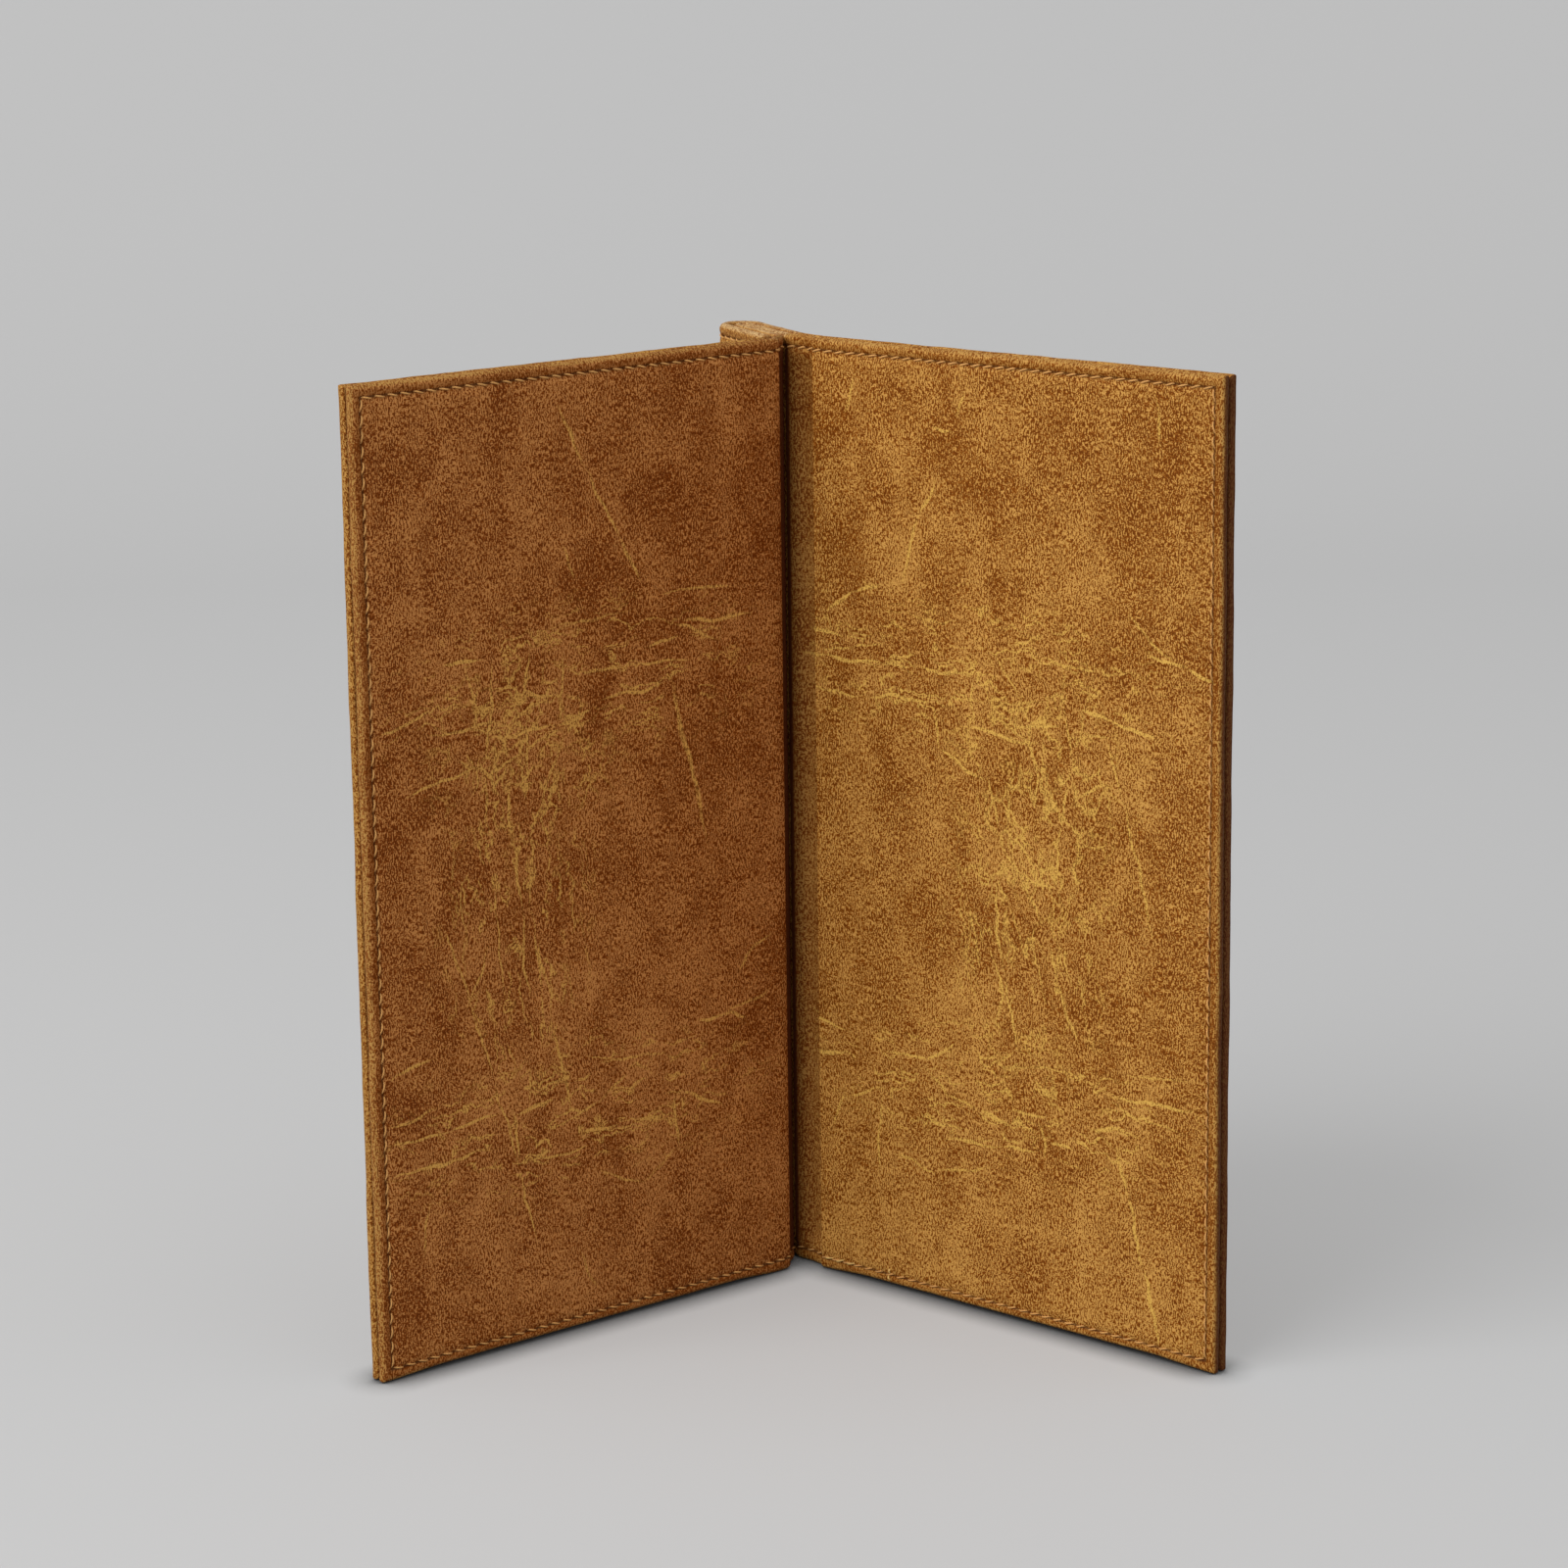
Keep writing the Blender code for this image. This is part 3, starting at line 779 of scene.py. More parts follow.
def grain_group():
    """Fine nap of the leather: round grains and short upright fibres under a millimetre, about 0."""
    tree, take, give = new_group("leather_grain", [("Hide", VECTOR), ("Grains", VALUE)], [("Grain", VALUE)])
    moved = drifted(tree, take["Hide"], 160.0, 1.0, 0.0022)
    fine = noise(tree, moved, take["Grains"], 0.0, flat=True)
    upright = vectors(tree, "MULTIPLY", moved, (1.1, 0.36, 1.0))
    fibre = noise(tree, upright, take["Grains"], 0.0, flat=True)
    both = maths(tree, "MULTIPLY_ADD", fine, 0.45, maths(tree, "MULTIPLY", fibre, 0.55))
    tree.links.new(maths(tree, "MULTIPLY", maths(tree, "SUBTRACT", both, 0.5), 4.2), give["Grain"])
    return tree


def cloud_group():
    """Cloudy tone of oiled leather about one half: noises of about 25, 12 and 4 millimetres, added up.

    The middle one is drawn out upwards.
    """
    tree, take, give = new_group("leather_clouds", [("Hide", VECTOR)], [("Tone", VALUE)])
    large = noise(tree, take["Hide"], 40.0, 1.0, 0.5, 0.3, flat=True)
    upright = vectors(tree, "MULTIPLY", take["Hide"], (1.0, 0.7, 1.0))
    middle = noise(tree, upright, 85.0, 2.0, 0.55, 0.5, flat=True)
    small = noise(tree, take["Hide"], 280.0, 2.0, 0.6, flat=True)
    weights = (0.42, 0.90, 0.60)
    tone = 0.5 - sum(weights) / 2
    for value, weight in zip((large, middle, small), weights):
        tone = maths(tree, "MULTIPLY_ADD", value, weight, tone)
    tree.links.new(tone, give["Tone"])
    return tree


def crease_group():
    """Wrinkles: lines of even width where a stretched noise passes its middle value.

    A point's distance from such a line is how far its value is from the middle over the
    noise's slope, taken from two more values a short step along and up.
    """
    tree, take, give = new_group(
        "leather_creases",
        [("Hide", VECTOR), ("Stretch", VECTOR), ("Turn", VALUE), ("Width", VALUE)],
        [("Line", VALUE)],
    )
    step = 0.0003
    inputs = {"Vector": take["Hide"], "Angle": take["Turn"]}
    turned = node(tree, "ShaderNodeVectorRotate", inputs, rotation_type="Z_AXIS").outputs[0]
    values = []
    for move in ((0.0, 0.0, 0.0), (step, 0.0, 0.0), (0.0, step, 0.0)):
        place = vectors(tree, "MULTIPLY", vectors(tree, "ADD", turned, move), take["Stretch"])
        values.append(noise(tree, place, 1.0, 2.0, 0.55, flat=True))
    here, along, above = values
    run, rise = maths(tree, "SUBTRACT", along, here), maths(tree, "SUBTRACT", above, here)
    slope = maths(tree, "SQRT", maths(tree, "MULTIPLY_ADD", run, run, maths(tree, "MULTIPLY", rise, rise)))
    slope = maths(tree, "MAXIMUM", maths(tree, "DIVIDE", slope, step), 1.0)
    away = maths(tree, "ABSOLUTE", maths(tree, "SUBTRACT", here, 0.5))
    tree.links.new(ranged(tree, maths(tree, "DIVIDE", away, slope), take["Width"], 0.0), give["Line"])
    return tree


def crackle_group():
    """Crackle: the borders of irregular cells, drawn as thin lines."""
    tree, take, give = new_group(
        "leather_crackle", [("Hide", VECTOR), ("Stretch", VECTOR), ("Width", VALUE)], [("Line", VALUE)]
    )
    cells = node(
        tree,
        "ShaderNodeTexVoronoi",
        {"Vector": vectors(tree, "MULTIPLY", take["Hide"], take["Stretch"]), "Scale": 1.0},
        feature="DISTANCE_TO_EDGE",
        voronoi_dimensions="2D",
    )
    tree.links.new(ranged(tree, cells.outputs["Distance"], take["Width"], 0.0), give["Line"])
    return tree


def stroke_group():
    """One crease: a long thin oval, full along its middle line and soft towards its rim.

    Along and Across are its directions over its half length and half width, so the sum of the
    two dot products squared is 1 on the rim.
    """
    tree, take, give = new_group(
        "leather_stroke",
        [("Hide", VECTOR), ("Place", VECTOR), ("Along", VECTOR), ("Across", VECTOR), ("Strength", VALUE)],
        [("Line", VALUE)],
    )
    off = vectors(tree, "SUBTRACT", take["Hide"], take["Place"])
    along = measure(tree, "DOT_PRODUCT", off, take["Along"])
    across = measure(tree, "DOT_PRODUCT", off, take["Across"])
    away = maths(tree, "MULTIPLY_ADD", across, across, maths(tree, "MULTIPLY", along, along))
    tree.links.new(ranged(tree, away, 1.0, 0.02, 0.0, take["Strength"]), give["Line"])
    return tree


def spot_group():
    """A soft oval patch: 1 at its centre and 0 beyond its radii."""
    tree, take, give = new_group(
        "soft_patch", [("Hide", VECTOR), ("Centre", VECTOR), ("Radii", VECTOR)], [("Mask", VALUE)]
    )
    off = vectors(tree, "SUBTRACT", take["Hide"], take["Centre"])
    away = measure(tree, "LENGTH", vectors(tree, "DIVIDE", off, take["Radii"]))
    tree.links.new(ranged(tree, away, 1.0, 0.25), give["Mask"])
    return tree


def group(tree, name, inputs):
    """Outputs of a node group placed in a material."""
    makers = {
        "leather_grain": grain_group,
        "leather_clouds": cloud_group,
        "leather_creases": crease_group,
        "leather_crackle": crackle_group,
        "leather_stroke": stroke_group,
        "soft_patch": spot_group,
    }
    shared = bpy.data.node_groups.get(name) or makers[name]()
    return node(tree, "ShaderNodeGroup", inputs, node_tree=shared).outputs


def new_finish(name, roughness, metallic=0.0, specular=0.5):
    """A material with its Principled shader set up. Returns both and the node tree."""
    material = bpy.data.materials.new(name)
    material.use_nodes = True
    tree = material.node_tree
    shader = tree.nodes["Principled BSDF"]
    shader.inputs["Roughness"].default_value = roughness
    shader.inputs["Metallic"].default_value = metallic
    shader.inputs["Specular IOR Level"].default_value = specular
    return material, tree, shader


def shade(colour, share=1.0):
    """A share of a colour, with full alpha."""
    return (*[share * c for c in colour], 1.0)


def tinted(colour, tint):
    """A colour times a tint, with full alpha."""
    return shade([c * part for c, part in zip(colour, tint)])


def dent(tree, shader, height, strength, distance):
    """Bumps a shader's normal by a height."""
    bump = node(tree, "ShaderNodeBump", {"Strength": strength, "Distance": distance, "Height": height})
    tree.links.new(bump.outputs[0], shader.inputs["Normal"])


def leather_lines(tree, uv, hide, patches):
    """Wrinkles and crackle in soft patches.

    patches lists (kind, centre, radii, stretch, turn, strength) in the sheet's own flat
    coordinates. kind is "crease" or "crackle".
    """
    moved = drifted(tree, hide, 200.0, 2.0, 0.006)
    lines = 0.0
    for kind, centre, radii, stretch, turn, strength in patches:
        oval = {"Hide": uv, "Centre": (*centre, 0.0), "Radii": (*radii, 1.0)}
        mask = group(tree, "soft_patch", oval)["Mask"]
        inputs = {"Hide": moved, "Stretch": (*stretch, 0.0), "Width": CRACKLE_WIDTH}
        if kind == "crease":
            inputs.update({"Turn": turn, "Width": CREASE_WIDTH})
        line = group(tree, "leather_creases" if kind == "crease" else "leather_crackle", inputs)["Line"]
        line = maths(tree, "MULTIPLY", maths(tree, "MULTIPLY", line, mask), strength)
        lines = maths(tree, "MAXIMUM", line, lines)
    breaks = ranged(tree, noise(tree, hide, 130.0, 1.0, flat=True), 0.38, 0.58)
    return maths(tree, "MULTIPLY", lines, breaks)


def leather_strokes(tree, uv, hide, strokes):
    """Single creases, given as (points, width, strength) in millimetres: one oval for each leg."""
    moved = drifted(tree, uv, 80.0, 3.0, 0.0040)
    lines = 0.0
    for points, width, strength in strokes:
        for (x, z), (to_x, to_z) in zip(points, points[1:]):
            length = math.hypot(to_x - x, to_z - z)
            ahead = Vector(((to_x - x) / length, (to_z - z) / length, 0.0))
            aside = Vector((-ahead.y, ahead.x, 0.0))
            inputs = {
                "Hide": moved,
                "Place": (MILLIMETRE * (x + to_x) / 2, MILLIMETRE * (z + to_z) / 2, 0.0),
                "Along": ahead / (MILLIMETRE * length / 2 + STROKE_END),
                "Across": aside / (STROKE_HALF_WIDTH * width),
                "Strength": strength,
            }
            lines = maths(tree, "MAXIMUM", group(tree, "leather_stroke", inputs)["Line"], lines)
    breaks = ranged(tree, noise(tree, hide, 230.0, 2.0, 0.6, flat=True), 0.34, 0.54, 0.8, 1.6)
    return maths(tree, "MULTIPLY", lines, breaks)


def toned(tree, uv, tone, spots):
    """Adds listed clouds to a tone.

    They are soft ovals (x, z, half width, half height, amount), in millimetres.
    """
    moved = drifted(tree, uv, 55.0, 2.0, 0.016)
    for x, z, wide, tall, amount in spots:
        centre, radii = (MILLIMETRE * x, MILLIMETRE * z, 0.0), (MILLIMETRE * wide, MILLIMETRE * tall, 1.0)
        inputs = {"Hide": moved, "Centre": centre, "Radii": radii}
        tone = maths(tree, "MULTIPLY_ADD", group(tree, "soft_patch", inputs)["Mask"], amount, tone)
    return tone


def leather(
    name, finish, offset, patches=(), strokes=(), spots=(), tint=(1.0, 1.0, 1.0), edge=None, fore=None
):
    """Oiled pull-up leather: clouds and nap add up to one tone, and a ramp colours it.

    Then come the creases, a dark border, painted shade along the seam, rubbed edges partly lightened
    as a painted highlight, dirt in a hide's hinge and painted shade in a lining's, and deeper painted
    shade behind the folds, along the bottom edge and on a fore-edge. fore is the length at which that
    painted shade of a fore-edge that lies in the shade starts.
    """
    material, tree, shader = new_finish(name, 0.6, specular=0.1)
    uv = node(tree, "ShaderNodeUVMap", uv_map="hide").outputs[0]
    rim = node(tree, "ShaderNodeAttribute", attribute_name="rim").outputs["Fac"]
    soil = node(tree, "ShaderNodeAttribute", attribute_name="soil").outputs["Fac"]
    hide = node(tree, "ShaderNodeMapping", {"Vector": uv, "Location": offset}).outputs[0]
    clouds = group(tree, "leather_clouds", {"Hide": hide})["Tone"]
    grain = group(tree, "leather_grain", {"Hide": hide, "Grains": GRAINS})["Grain"]
    tone = maths(tree, "ADD", toned(tree, uv, clouds, spots) if spots else clouds, grain)
    if patches:
        lines = leather_lines(tree, uv, hide, patches)
        if strokes:
            lines = maths(tree, "MAXIMUM", lines, leather_strokes(tree, uv, hide, strokes))
        pulled = maths(tree, "MULTIPLY", lines, ranged(tree, grain, -0.60, 0.38, 0.3, 1.65))
    ramp = node(tree, "ShaderNodeValToRGB", {"Fac": tone})
    stops = ramp.color_ramp.elements
    darkest, lightest = [0.6 * c for c in finish.dark_brown], [1.3 * c for c in finish.golden]
    stops[0].position, stops[1].position = 0.0, 1.0
    places = (stops[0], stops.new(0.26), stops.new(0.5), stops.new(0.74), stops[-1])
    for place, brown in zip(places, (darkest, finish.dark_brown, finish.brown, finish.golden, lightest)):
        place.color = tinted(brown, tint)
    colour = ramp.outputs["Color"]
    if patches:
        colour = mixed(tree, pulled, colour, tinted(finish.vein, [part**0.5 for part in tint]))

    border = shade(finish.dark_brown, 0.7)
    band = maths(tree, "MULTIPLY", ranged(tree, rim, 0.0008, 0.0016), ranged(tree, rim, 0.0040, 0.0028))
    colour = mixed(tree, maths(tree, "MULTIPLY", band, 0.35), colour, border)
    off_seam = maths(tree, "ABSOLUTE", maths(tree, "SUBTRACT", rim, 0.0028))
    colour = mixed(tree, ranged(tree, off_seam, 0.0005, 0.0001, 0.0, 0.72), colour, SEAM_SHADE)
    # Edges: partly rubbed wear, partly a painted highlight where they face the light
    rubbed_and_lit = maths(tree, "MULTIPLY", ranged(tree, rim, 0.0012, 0.0003), ranged(tree, rim, -0.0012, -0.0002))
    rubbed_and_lit = maths(tree, "MULTIPLY", rubbed_and_lit, ranged(tree, tone, 0.25, 0.7, 0.15, 0.9))
    colour = mixed(tree, rubbed_and_lit, colour, shade(edge or finish.edge))
    # Painted shade: behind the folds, along the bottom edge, deep in a lining's hinge and on a fore-edge
    # that lies in the shade
    groove = ranged(tree, rim, -0.0008, -0.0018, 0.0, 0.6)
    along, up, _ = node(tree, "ShaderNodeSeparateXYZ", {0: uv}).outputs
    painted_shade = maths(tree, "MAXIMUM", groove, ranged(tree, up, 0.0002, -0.0006, 0.0, 0.75))
    # Darkening in the hinge: dirt on a hide, painted shade on a lining
    colour = mixed(tree, soil, colour, HINGE_DIRT_AND_SHADE)
    painted_shade = maths(tree, "MAXIMUM", painted_shade, ranged(tree, soil, 0.62, 0.85, 0.0, 0.85))
    if fore:
        shaded = ranged(tree, along, fore - 0.0004, fore + 0.0004, 0.0, 0.85)
        painted_shade = maths(tree, "MAXIMUM", painted_shade, shaded)
    colour = mixed(tree, painted_shade, colour, PAINTED_DEEP_SHADE)
    tree.links.new(colour, shader.inputs["Base Color"])

    tree.links.new(ranged(tree, grain, -0.4, 0.4, 0.72, 0.55), shader.inputs["Roughness"])
    dent(tree, shader, grain, 0.5, 0.00008)
    return material


def thread_finish(name, light):
    """Waxed thread of a light tone: two plies that wind round each other, as slanted bands, with painted
    shade in the grooves between them.
    """
    material, tree, shader = new_finish(name, 0.6, specular=0.25)
    uv = node(tree, "ShaderNodeUVMap", uv_map="twist").outputs[0]
    along, around, _ = node(tree, "ShaderNodeSeparateXYZ", {0: uv}).outputs
    slant = maths(tree, "MULTIPLY_ADD", along, 0.7, around)
    ply = ranged(tree, maths(tree, "SINE", maths(tree, "MULTIPLY", slant, 4 * math.pi)), -0.7, 0.5)
    place = node(tree, "ShaderNodeTexCoord").outputs["Object"]
    uneven = noise(tree, place, 130.0, 2.0)
    bright = mixed(tree, ranged(tree, uneven, 0.3, 0.7), shade(light, 0.78), shade(light))
    # Painted shade in the grooves between the plies
    tree.links.new(mixed(tree, ply, shade(light, 0.6), bright), shader.inputs["Base Color"])
    dent(tree, shader, ply, 0.6, 0.0001)
    return material


def greyboard_finish(name, finish):
    """Pressed greyboard: flecks and fibres in a dull grey-brown."""
    material, tree, shader = new_finish(name, 0.92, specular=0.15)
    place = node(tree, "ShaderNodeTexCoord").outputs["Object"]
    fleck = noise(tree, place, 900.0, 3.0, 0.7)
    drawn_out = vectors(tree, "MULTIPLY", place, (1.0, 1.0, 0.15))
    fibre = noise(tree, drawn_out, 1400.0)
    both = maths(tree, "MULTIPLY_ADD", fleck, 0.6, maths(tree, "MULTIPLY", fibre, 0.4))
    dark, light = shade(finish.greyboard, 0.6), shade(finish.greyboard, 1.25)
    tree.links.new(mixed(tree, ranged(tree, both, 0.35, 0.65), dark, light), shader.inputs["Base Color"])
    dent(tree, shader, both, 0.3, 0.0001)
    return material


def brass_finish(name, finish):
    """Handled brass: fine turning marks, dull patches and small dents."""
    material, tree, shader = new_finish(name, 0.3, metallic=1.0)
    place = node(tree, "ShaderNodeTexCoord").outputs["Object"]
    cloud = noise(tree, place, 420.0, 4.0, 0.6)
    fine = noise(tree, place, 5200.0, 2.0, 0.6)
    dull, clear = shade(finish.brass, 0.55), shade(finish.brass)
    tree.links.new(mixed(tree, ranged(tree, cloud, 0.35, 0.68), dull, clear), shader.inputs["Base Color"])
    tree.links.new(ranged(tree, cloud, 0.3, 0.7, 0.45, 0.24), shader.inputs["Roughness"])
    dent(tree, shader, fine, 0.12, 0.00005)
    return material


def paint(piece, material):
    """Gives a piece one material."""
    piece.data.materials.clear()
    piece.data.materials.append(material)


def bend_points(sheet):
    """Just beyond where a sheet leaves the strip, and just before it reaches the board."""
    ends = np.array([0.0, sheet.bend])
    points = laid(sheet, ends, np.full(2, HEIGHT / 2), np.full(2, LOBE_MID))
    ahead = (points[1] - points[0]) / np.linalg.norm(points[1] - points[0])
    return tuple(points[0] + BLEND_INSET * ahead), tuple(points[1] - BLEND_INSET * ahead)


COVERS = (("front", 1, FRONT_OPEN), ("back", -1, BACK_OPEN))

# The front lining's tint, which is partly its own darker, redder leather and partly painted shade, as
# the key lamp only grazes it; where the linings are crackled, in metres; and their clouds and single
# creases, in millimetres. All count from the end of the strip and from the bottom edge
FRONT_TINT_AND_SHADE = (0.94, 0.77, 0.92)
FRONT_PATCHES = (
    ("crackle", (0.086, 0.143), (0.034, 0.034), (210.0, 170.0), 0.0, 1.0),
    ("crease", (0.070, 0.156), (0.075, 0.026), (30.0, 190.0), 0.05, 0.9),
    ("crease", (0.090, 0.105), (0.030, 0.062), (210.0, 30.0), 0.06, 0.9),
    ("crease", (0.075, 0.054), (0.075, 0.024), (32.0, 210.0), -0.03, 1.0),
)
FRONT_SPOTS = (
    (75, 45, 75, 65, 0.08),
    (129, 115, 26, 120, -0.09),
    (25, 195, 60, 60, -0.08),
    (86, 99, 15, 12, -0.12),
    (119, 81, 16, 10, -0.10),
    (70, 176, 24, 9, -0.10),
    (23, 143, 17, 12, -0.10),
    (23, 110, 15, 24, -0.08),
    (100, 146, 11, 10, -0.12),
    (117, 206, 20, 12, -0.08),
    (94, 181, 18, 12, 0.10),
    (76, 84, 16, 10, 0.12),
    (61, 43, 11, 10, -0.12),
)
FRONT_STROKES = (
    (((46, 174), (25, 173)), 0.7, 0.5),
    (((82, 169), (53, 171)), 0.7, 0.3),
    (((39, 166), (19, 166)), 0.9, 0.9),
    (((41, 166), (30, 161)), 0.8, 0.7),
    (((50, 162), (41, 163)), 0.8, 0.6),
    (((71, 158), (58, 158), (38, 157)), 0.8, 0.6),
    (((64, 151), (45, 152)), 0.8, 0.9),
    (((108, 165), (98, 165)), 1, 0.8),
    (((126, 151), (111, 155)), 0.9, 0.6),
    (((114, 149), (91, 150), (76, 154)), 0.8, 0.6),
    (((97, 146), (77, 147), (68, 149)), 0.9, 0.9),
    (((120, 137), (99, 141)), 0.9, 0.6),
    (((100, 137), (86, 142), (76, 146)), 0.8, 0.6),
    (((88, 156), (75, 153)), 0.8, 0.6),
    (((102, 163), (100, 151)), 0.7, 0.5),
    (((95, 165), (97, 140), (97, 126)), 0.7, 0.6),
    (((85, 165), (85, 154), (86, 129)), 0.7, 0.5),
    (((75, 163), (75, 146), (83, 123)), 0.7, 0.6),
    (((91, 137), (91, 122), (88, 104), (87, 84)), 0.8, 0.7),
    (((85, 121), (86, 104), (80, 77), (76, 56)), 0.7, 0.6),
    (((105, 115), (104, 98)), 0.6, 0.4),
    (((110, 104), (103, 86), (98, 67), (91, 42), (86, 25)), 0.7, 0.6),
    (((98, 98), (104, 84)), 0.7, 0.5),
    (((83, 98), (84, 84), (81, 73)), 0.6, 0.5),
    (((95, 108), (94, 84)), 0.6, 0.45),
    (((74, 221), (68, 206), (58, 189), (52, 177)), 1, 0.45),
    (((44, 156), (33, 111)), 1.3, 0.5),
    (((74, 188), (71, 180)), 0.8, 0.4),
    (((127, 71), (114, 75)), 0.9, 0.5),
    (((127, 60), (114, 63)), 0.8, 0.45),
    (((127, 56), (110, 56), (97, 58)), 0.9, 0.8),
    (((127, 48), (97, 50)), 0.9, 0.8),
    (((92, 56), (81, 58)), 0.9, 0.8),
    (((90, 44), (70, 44)), 0.9, 0.8),
    (((73, 48), (62, 48)), 0.9, 0.8),
    (((76, 53), (68, 54), (59, 60)), 0.8, 0.6),
    (((56, 48), (48, 48)), 0.9, 0.6),
    (((68, 65), (45, 63)), 0.8, 0.4),
    (((37, 69), (29, 69), (23, 67)), 0.9, 0.7),
    (((24, 79), (14, 87)), 0.8, 0.5),
    (((29, 69), (15, 72)), 0.8, 0.4),
    (((45, 53), (44, 38)), 1, 0.5),
    (((43, 52), (31, 47)), 0.9, 0.7),
    (((77, 65), (76, 55)), 0.8, 0.5),
    (((86, 67), (88, 58)), 0.8, 0.5),
    (((93, 58), (91, 45)), 0.8, 0.6),
    (((68, 38), (54, 32), (45, 38)), 0.8, 0.4),
    (((116, 42), (119, 27)), 0.7, 0.4),
    (((74, 20), (69, 9)), 0.7, 0.4),
)
BACK_PATCHES = (
    ("crackle", (0.078, 0.128), (0.036, 0.048), (200.0, 140.0), 0.0, 0.9),
    ("crease", (0.060, 0.156), (0.080, 0.026), (30.0, 190.0), -0.04, 0.9),
    ("crease", (0.076, 0.100), (0.034, 0.062), (210.0, 30.0), -0.10, 0.9),
    ("crease", (0.070, 0.055), (0.080, 0.024), (32.0, 210.0), 0.04, 0.9),
)
BACK_SPOTS = (
    (70, 20, 110, 75, 0.09),
    (70, 225, 110, 70, -0.05),
    (130, 85, 28, 110, -0.09),
    (125, 190, 30, 45, -0.07),
    (60, 199, 14, 12, -0.20),
    (61, 94, 16, 12, -0.20),
    (95, 118, 11, 20, -0.16),
    (101, 75, 19, 14, -0.16),
    (80, 44, 26, 12, -0.14),
    (24, 182, 18, 10, -0.10),
    (40, 185, 14, 20, 0.12),
    (52, 73, 18, 12, 0.12),
    (118, 24, 14, 12, 0.14),
)
BACK_STROKES = (
    (((15, 165), (23, 171), (31, 173)), 1, 0.6),
    (((5, 160), (20, 160)), 0.9, 0.8),
    (((4, 153), (13, 154), (33, 154)), 1, 0.9),
    (((34, 154), (40, 154)), 0.8, 0.7),
    (((43, 154), (61, 155)), 0.9, 0.7),
    (((7, 146), (27, 146)), 0.8, 0.6),
    (((28, 146), (46, 147)), 0.9, 0.8),
    (((38, 167), (55, 167)), 0.7, 0.4),
    (((13, 155), (24, 158), (32, 159)), 0.8, 0.5),
    (((54, 142), (79, 142)), 0.9, 0.7),
    (((73, 145), (85, 146)), 0.9, 0.8),
    (((79, 162), (96, 160)), 0.8, 0.6),
    (((92, 151), (99, 149), (112, 147)), 1, 0.9),
    (((87, 144), (99, 145)), 0.8, 0.5),
    (((110, 166), (120, 164), (128, 161)), 1, 0.8),
    (((104, 174), (117, 165)), 0.8, 0.5),
    (((54, 149), (64, 149), (81, 151)), 0.7, 0.4),
    (((46, 147), (49, 136), (64, 130)), 0.8, 0.6),
    (((59, 153), (60, 142)), 0.7, 0.6),
    (((67, 160), (73, 151), (73, 142)), 0.7, 0.5),
    (((76, 143), (78, 132)), 0.8, 0.6),
    (((85, 154), (89, 137)), 0.7, 0.5),
    (((79, 140), (81, 122)), 0.8, 0.6),
    (((87, 132), (85, 122), (84, 108)), 0.8, 0.7),
    (((68, 126), (73, 119), (78, 111)), 0.8, 0.7),
    (((64, 132), (67, 119), (76, 105), (79, 98)), 0.8, 0.6),
    (((98, 144), (103, 132), (112, 98)), 0.8, 0.5),
    (((89, 129), (98, 135)), 0.8, 0.6),
    (((76, 108), (83, 108)), 0.9, 0.7),
    (((58, 100), (62, 87)), 0.7, 0.5),
    (((66, 108), (68, 84), (73, 67)), 0.8, 0.7),
    (((71, 101), (73, 93)), 0.7, 0.5),
    (((64, 91), (70, 74)), 0.7, 0.6),
    (((82, 94), (85, 85), (90, 72)), 0.8, 0.6),
    (((79, 90), (81, 80)), 0.6, 0.4),
    (((5, 65), (20, 62)), 0.9, 0.8),
    (((7, 55), (21, 57)), 0.9, 0.7),
    (((32, 60), (46, 60), (53, 65)), 0.9, 0.8),
    (((46, 57), (51, 52), (60, 50)), 0.8, 0.6),
    (((20, 46), (32, 50)), 0.9, 0.7),
    (((42, 46), (57, 44)), 0.8, 0.7),
    (((49, 41), (68, 42), (78, 43)), 0.8, 0.7),
    (((62, 50), (70, 48)), 1, 0.9),
    (((71, 52), (81, 53)), 0.9, 0.7),
    (((68, 63), (93, 64)), 0.7, 0.4),
    (((82, 46), (88, 46)), 1, 0.9),
    (((95, 52), (103, 53)), 0.9, 0.7),
    (((99, 61), (125, 62)), 1, 0.9),
    (((100, 60), (110, 55)), 0.8, 0.7),
    (((95, 58), (123, 56)), 0.8, 0.5),
    (((103, 67), (122, 68)), 0.7, 0.35),
    (((79, 51), (81, 42)), 0.7, 0.5),
    (((101, 49), (105, 38), (110, 21), (114, 4)), 1, 0.7),
    (((32, 49), (29, 28)), 0.8, 0.5),
    (((19, 48), (15, 37)), 0.8, 0.45),
    (((35, 34), (48, 32), (64, 37)), 0.8, 0.45),
    (((48, 200), (44, 191), (38, 174)), 1.1, 0.45),
    (((53, 212), (48, 212)), 0.8, 0.4),
    (((57, 220), (55, 216)), 1, 0.4),
    (((111, 224), (113, 212)), 0.9, 0.35),
    (((24, 223), (21, 213)), 0.9, 0.35),
)


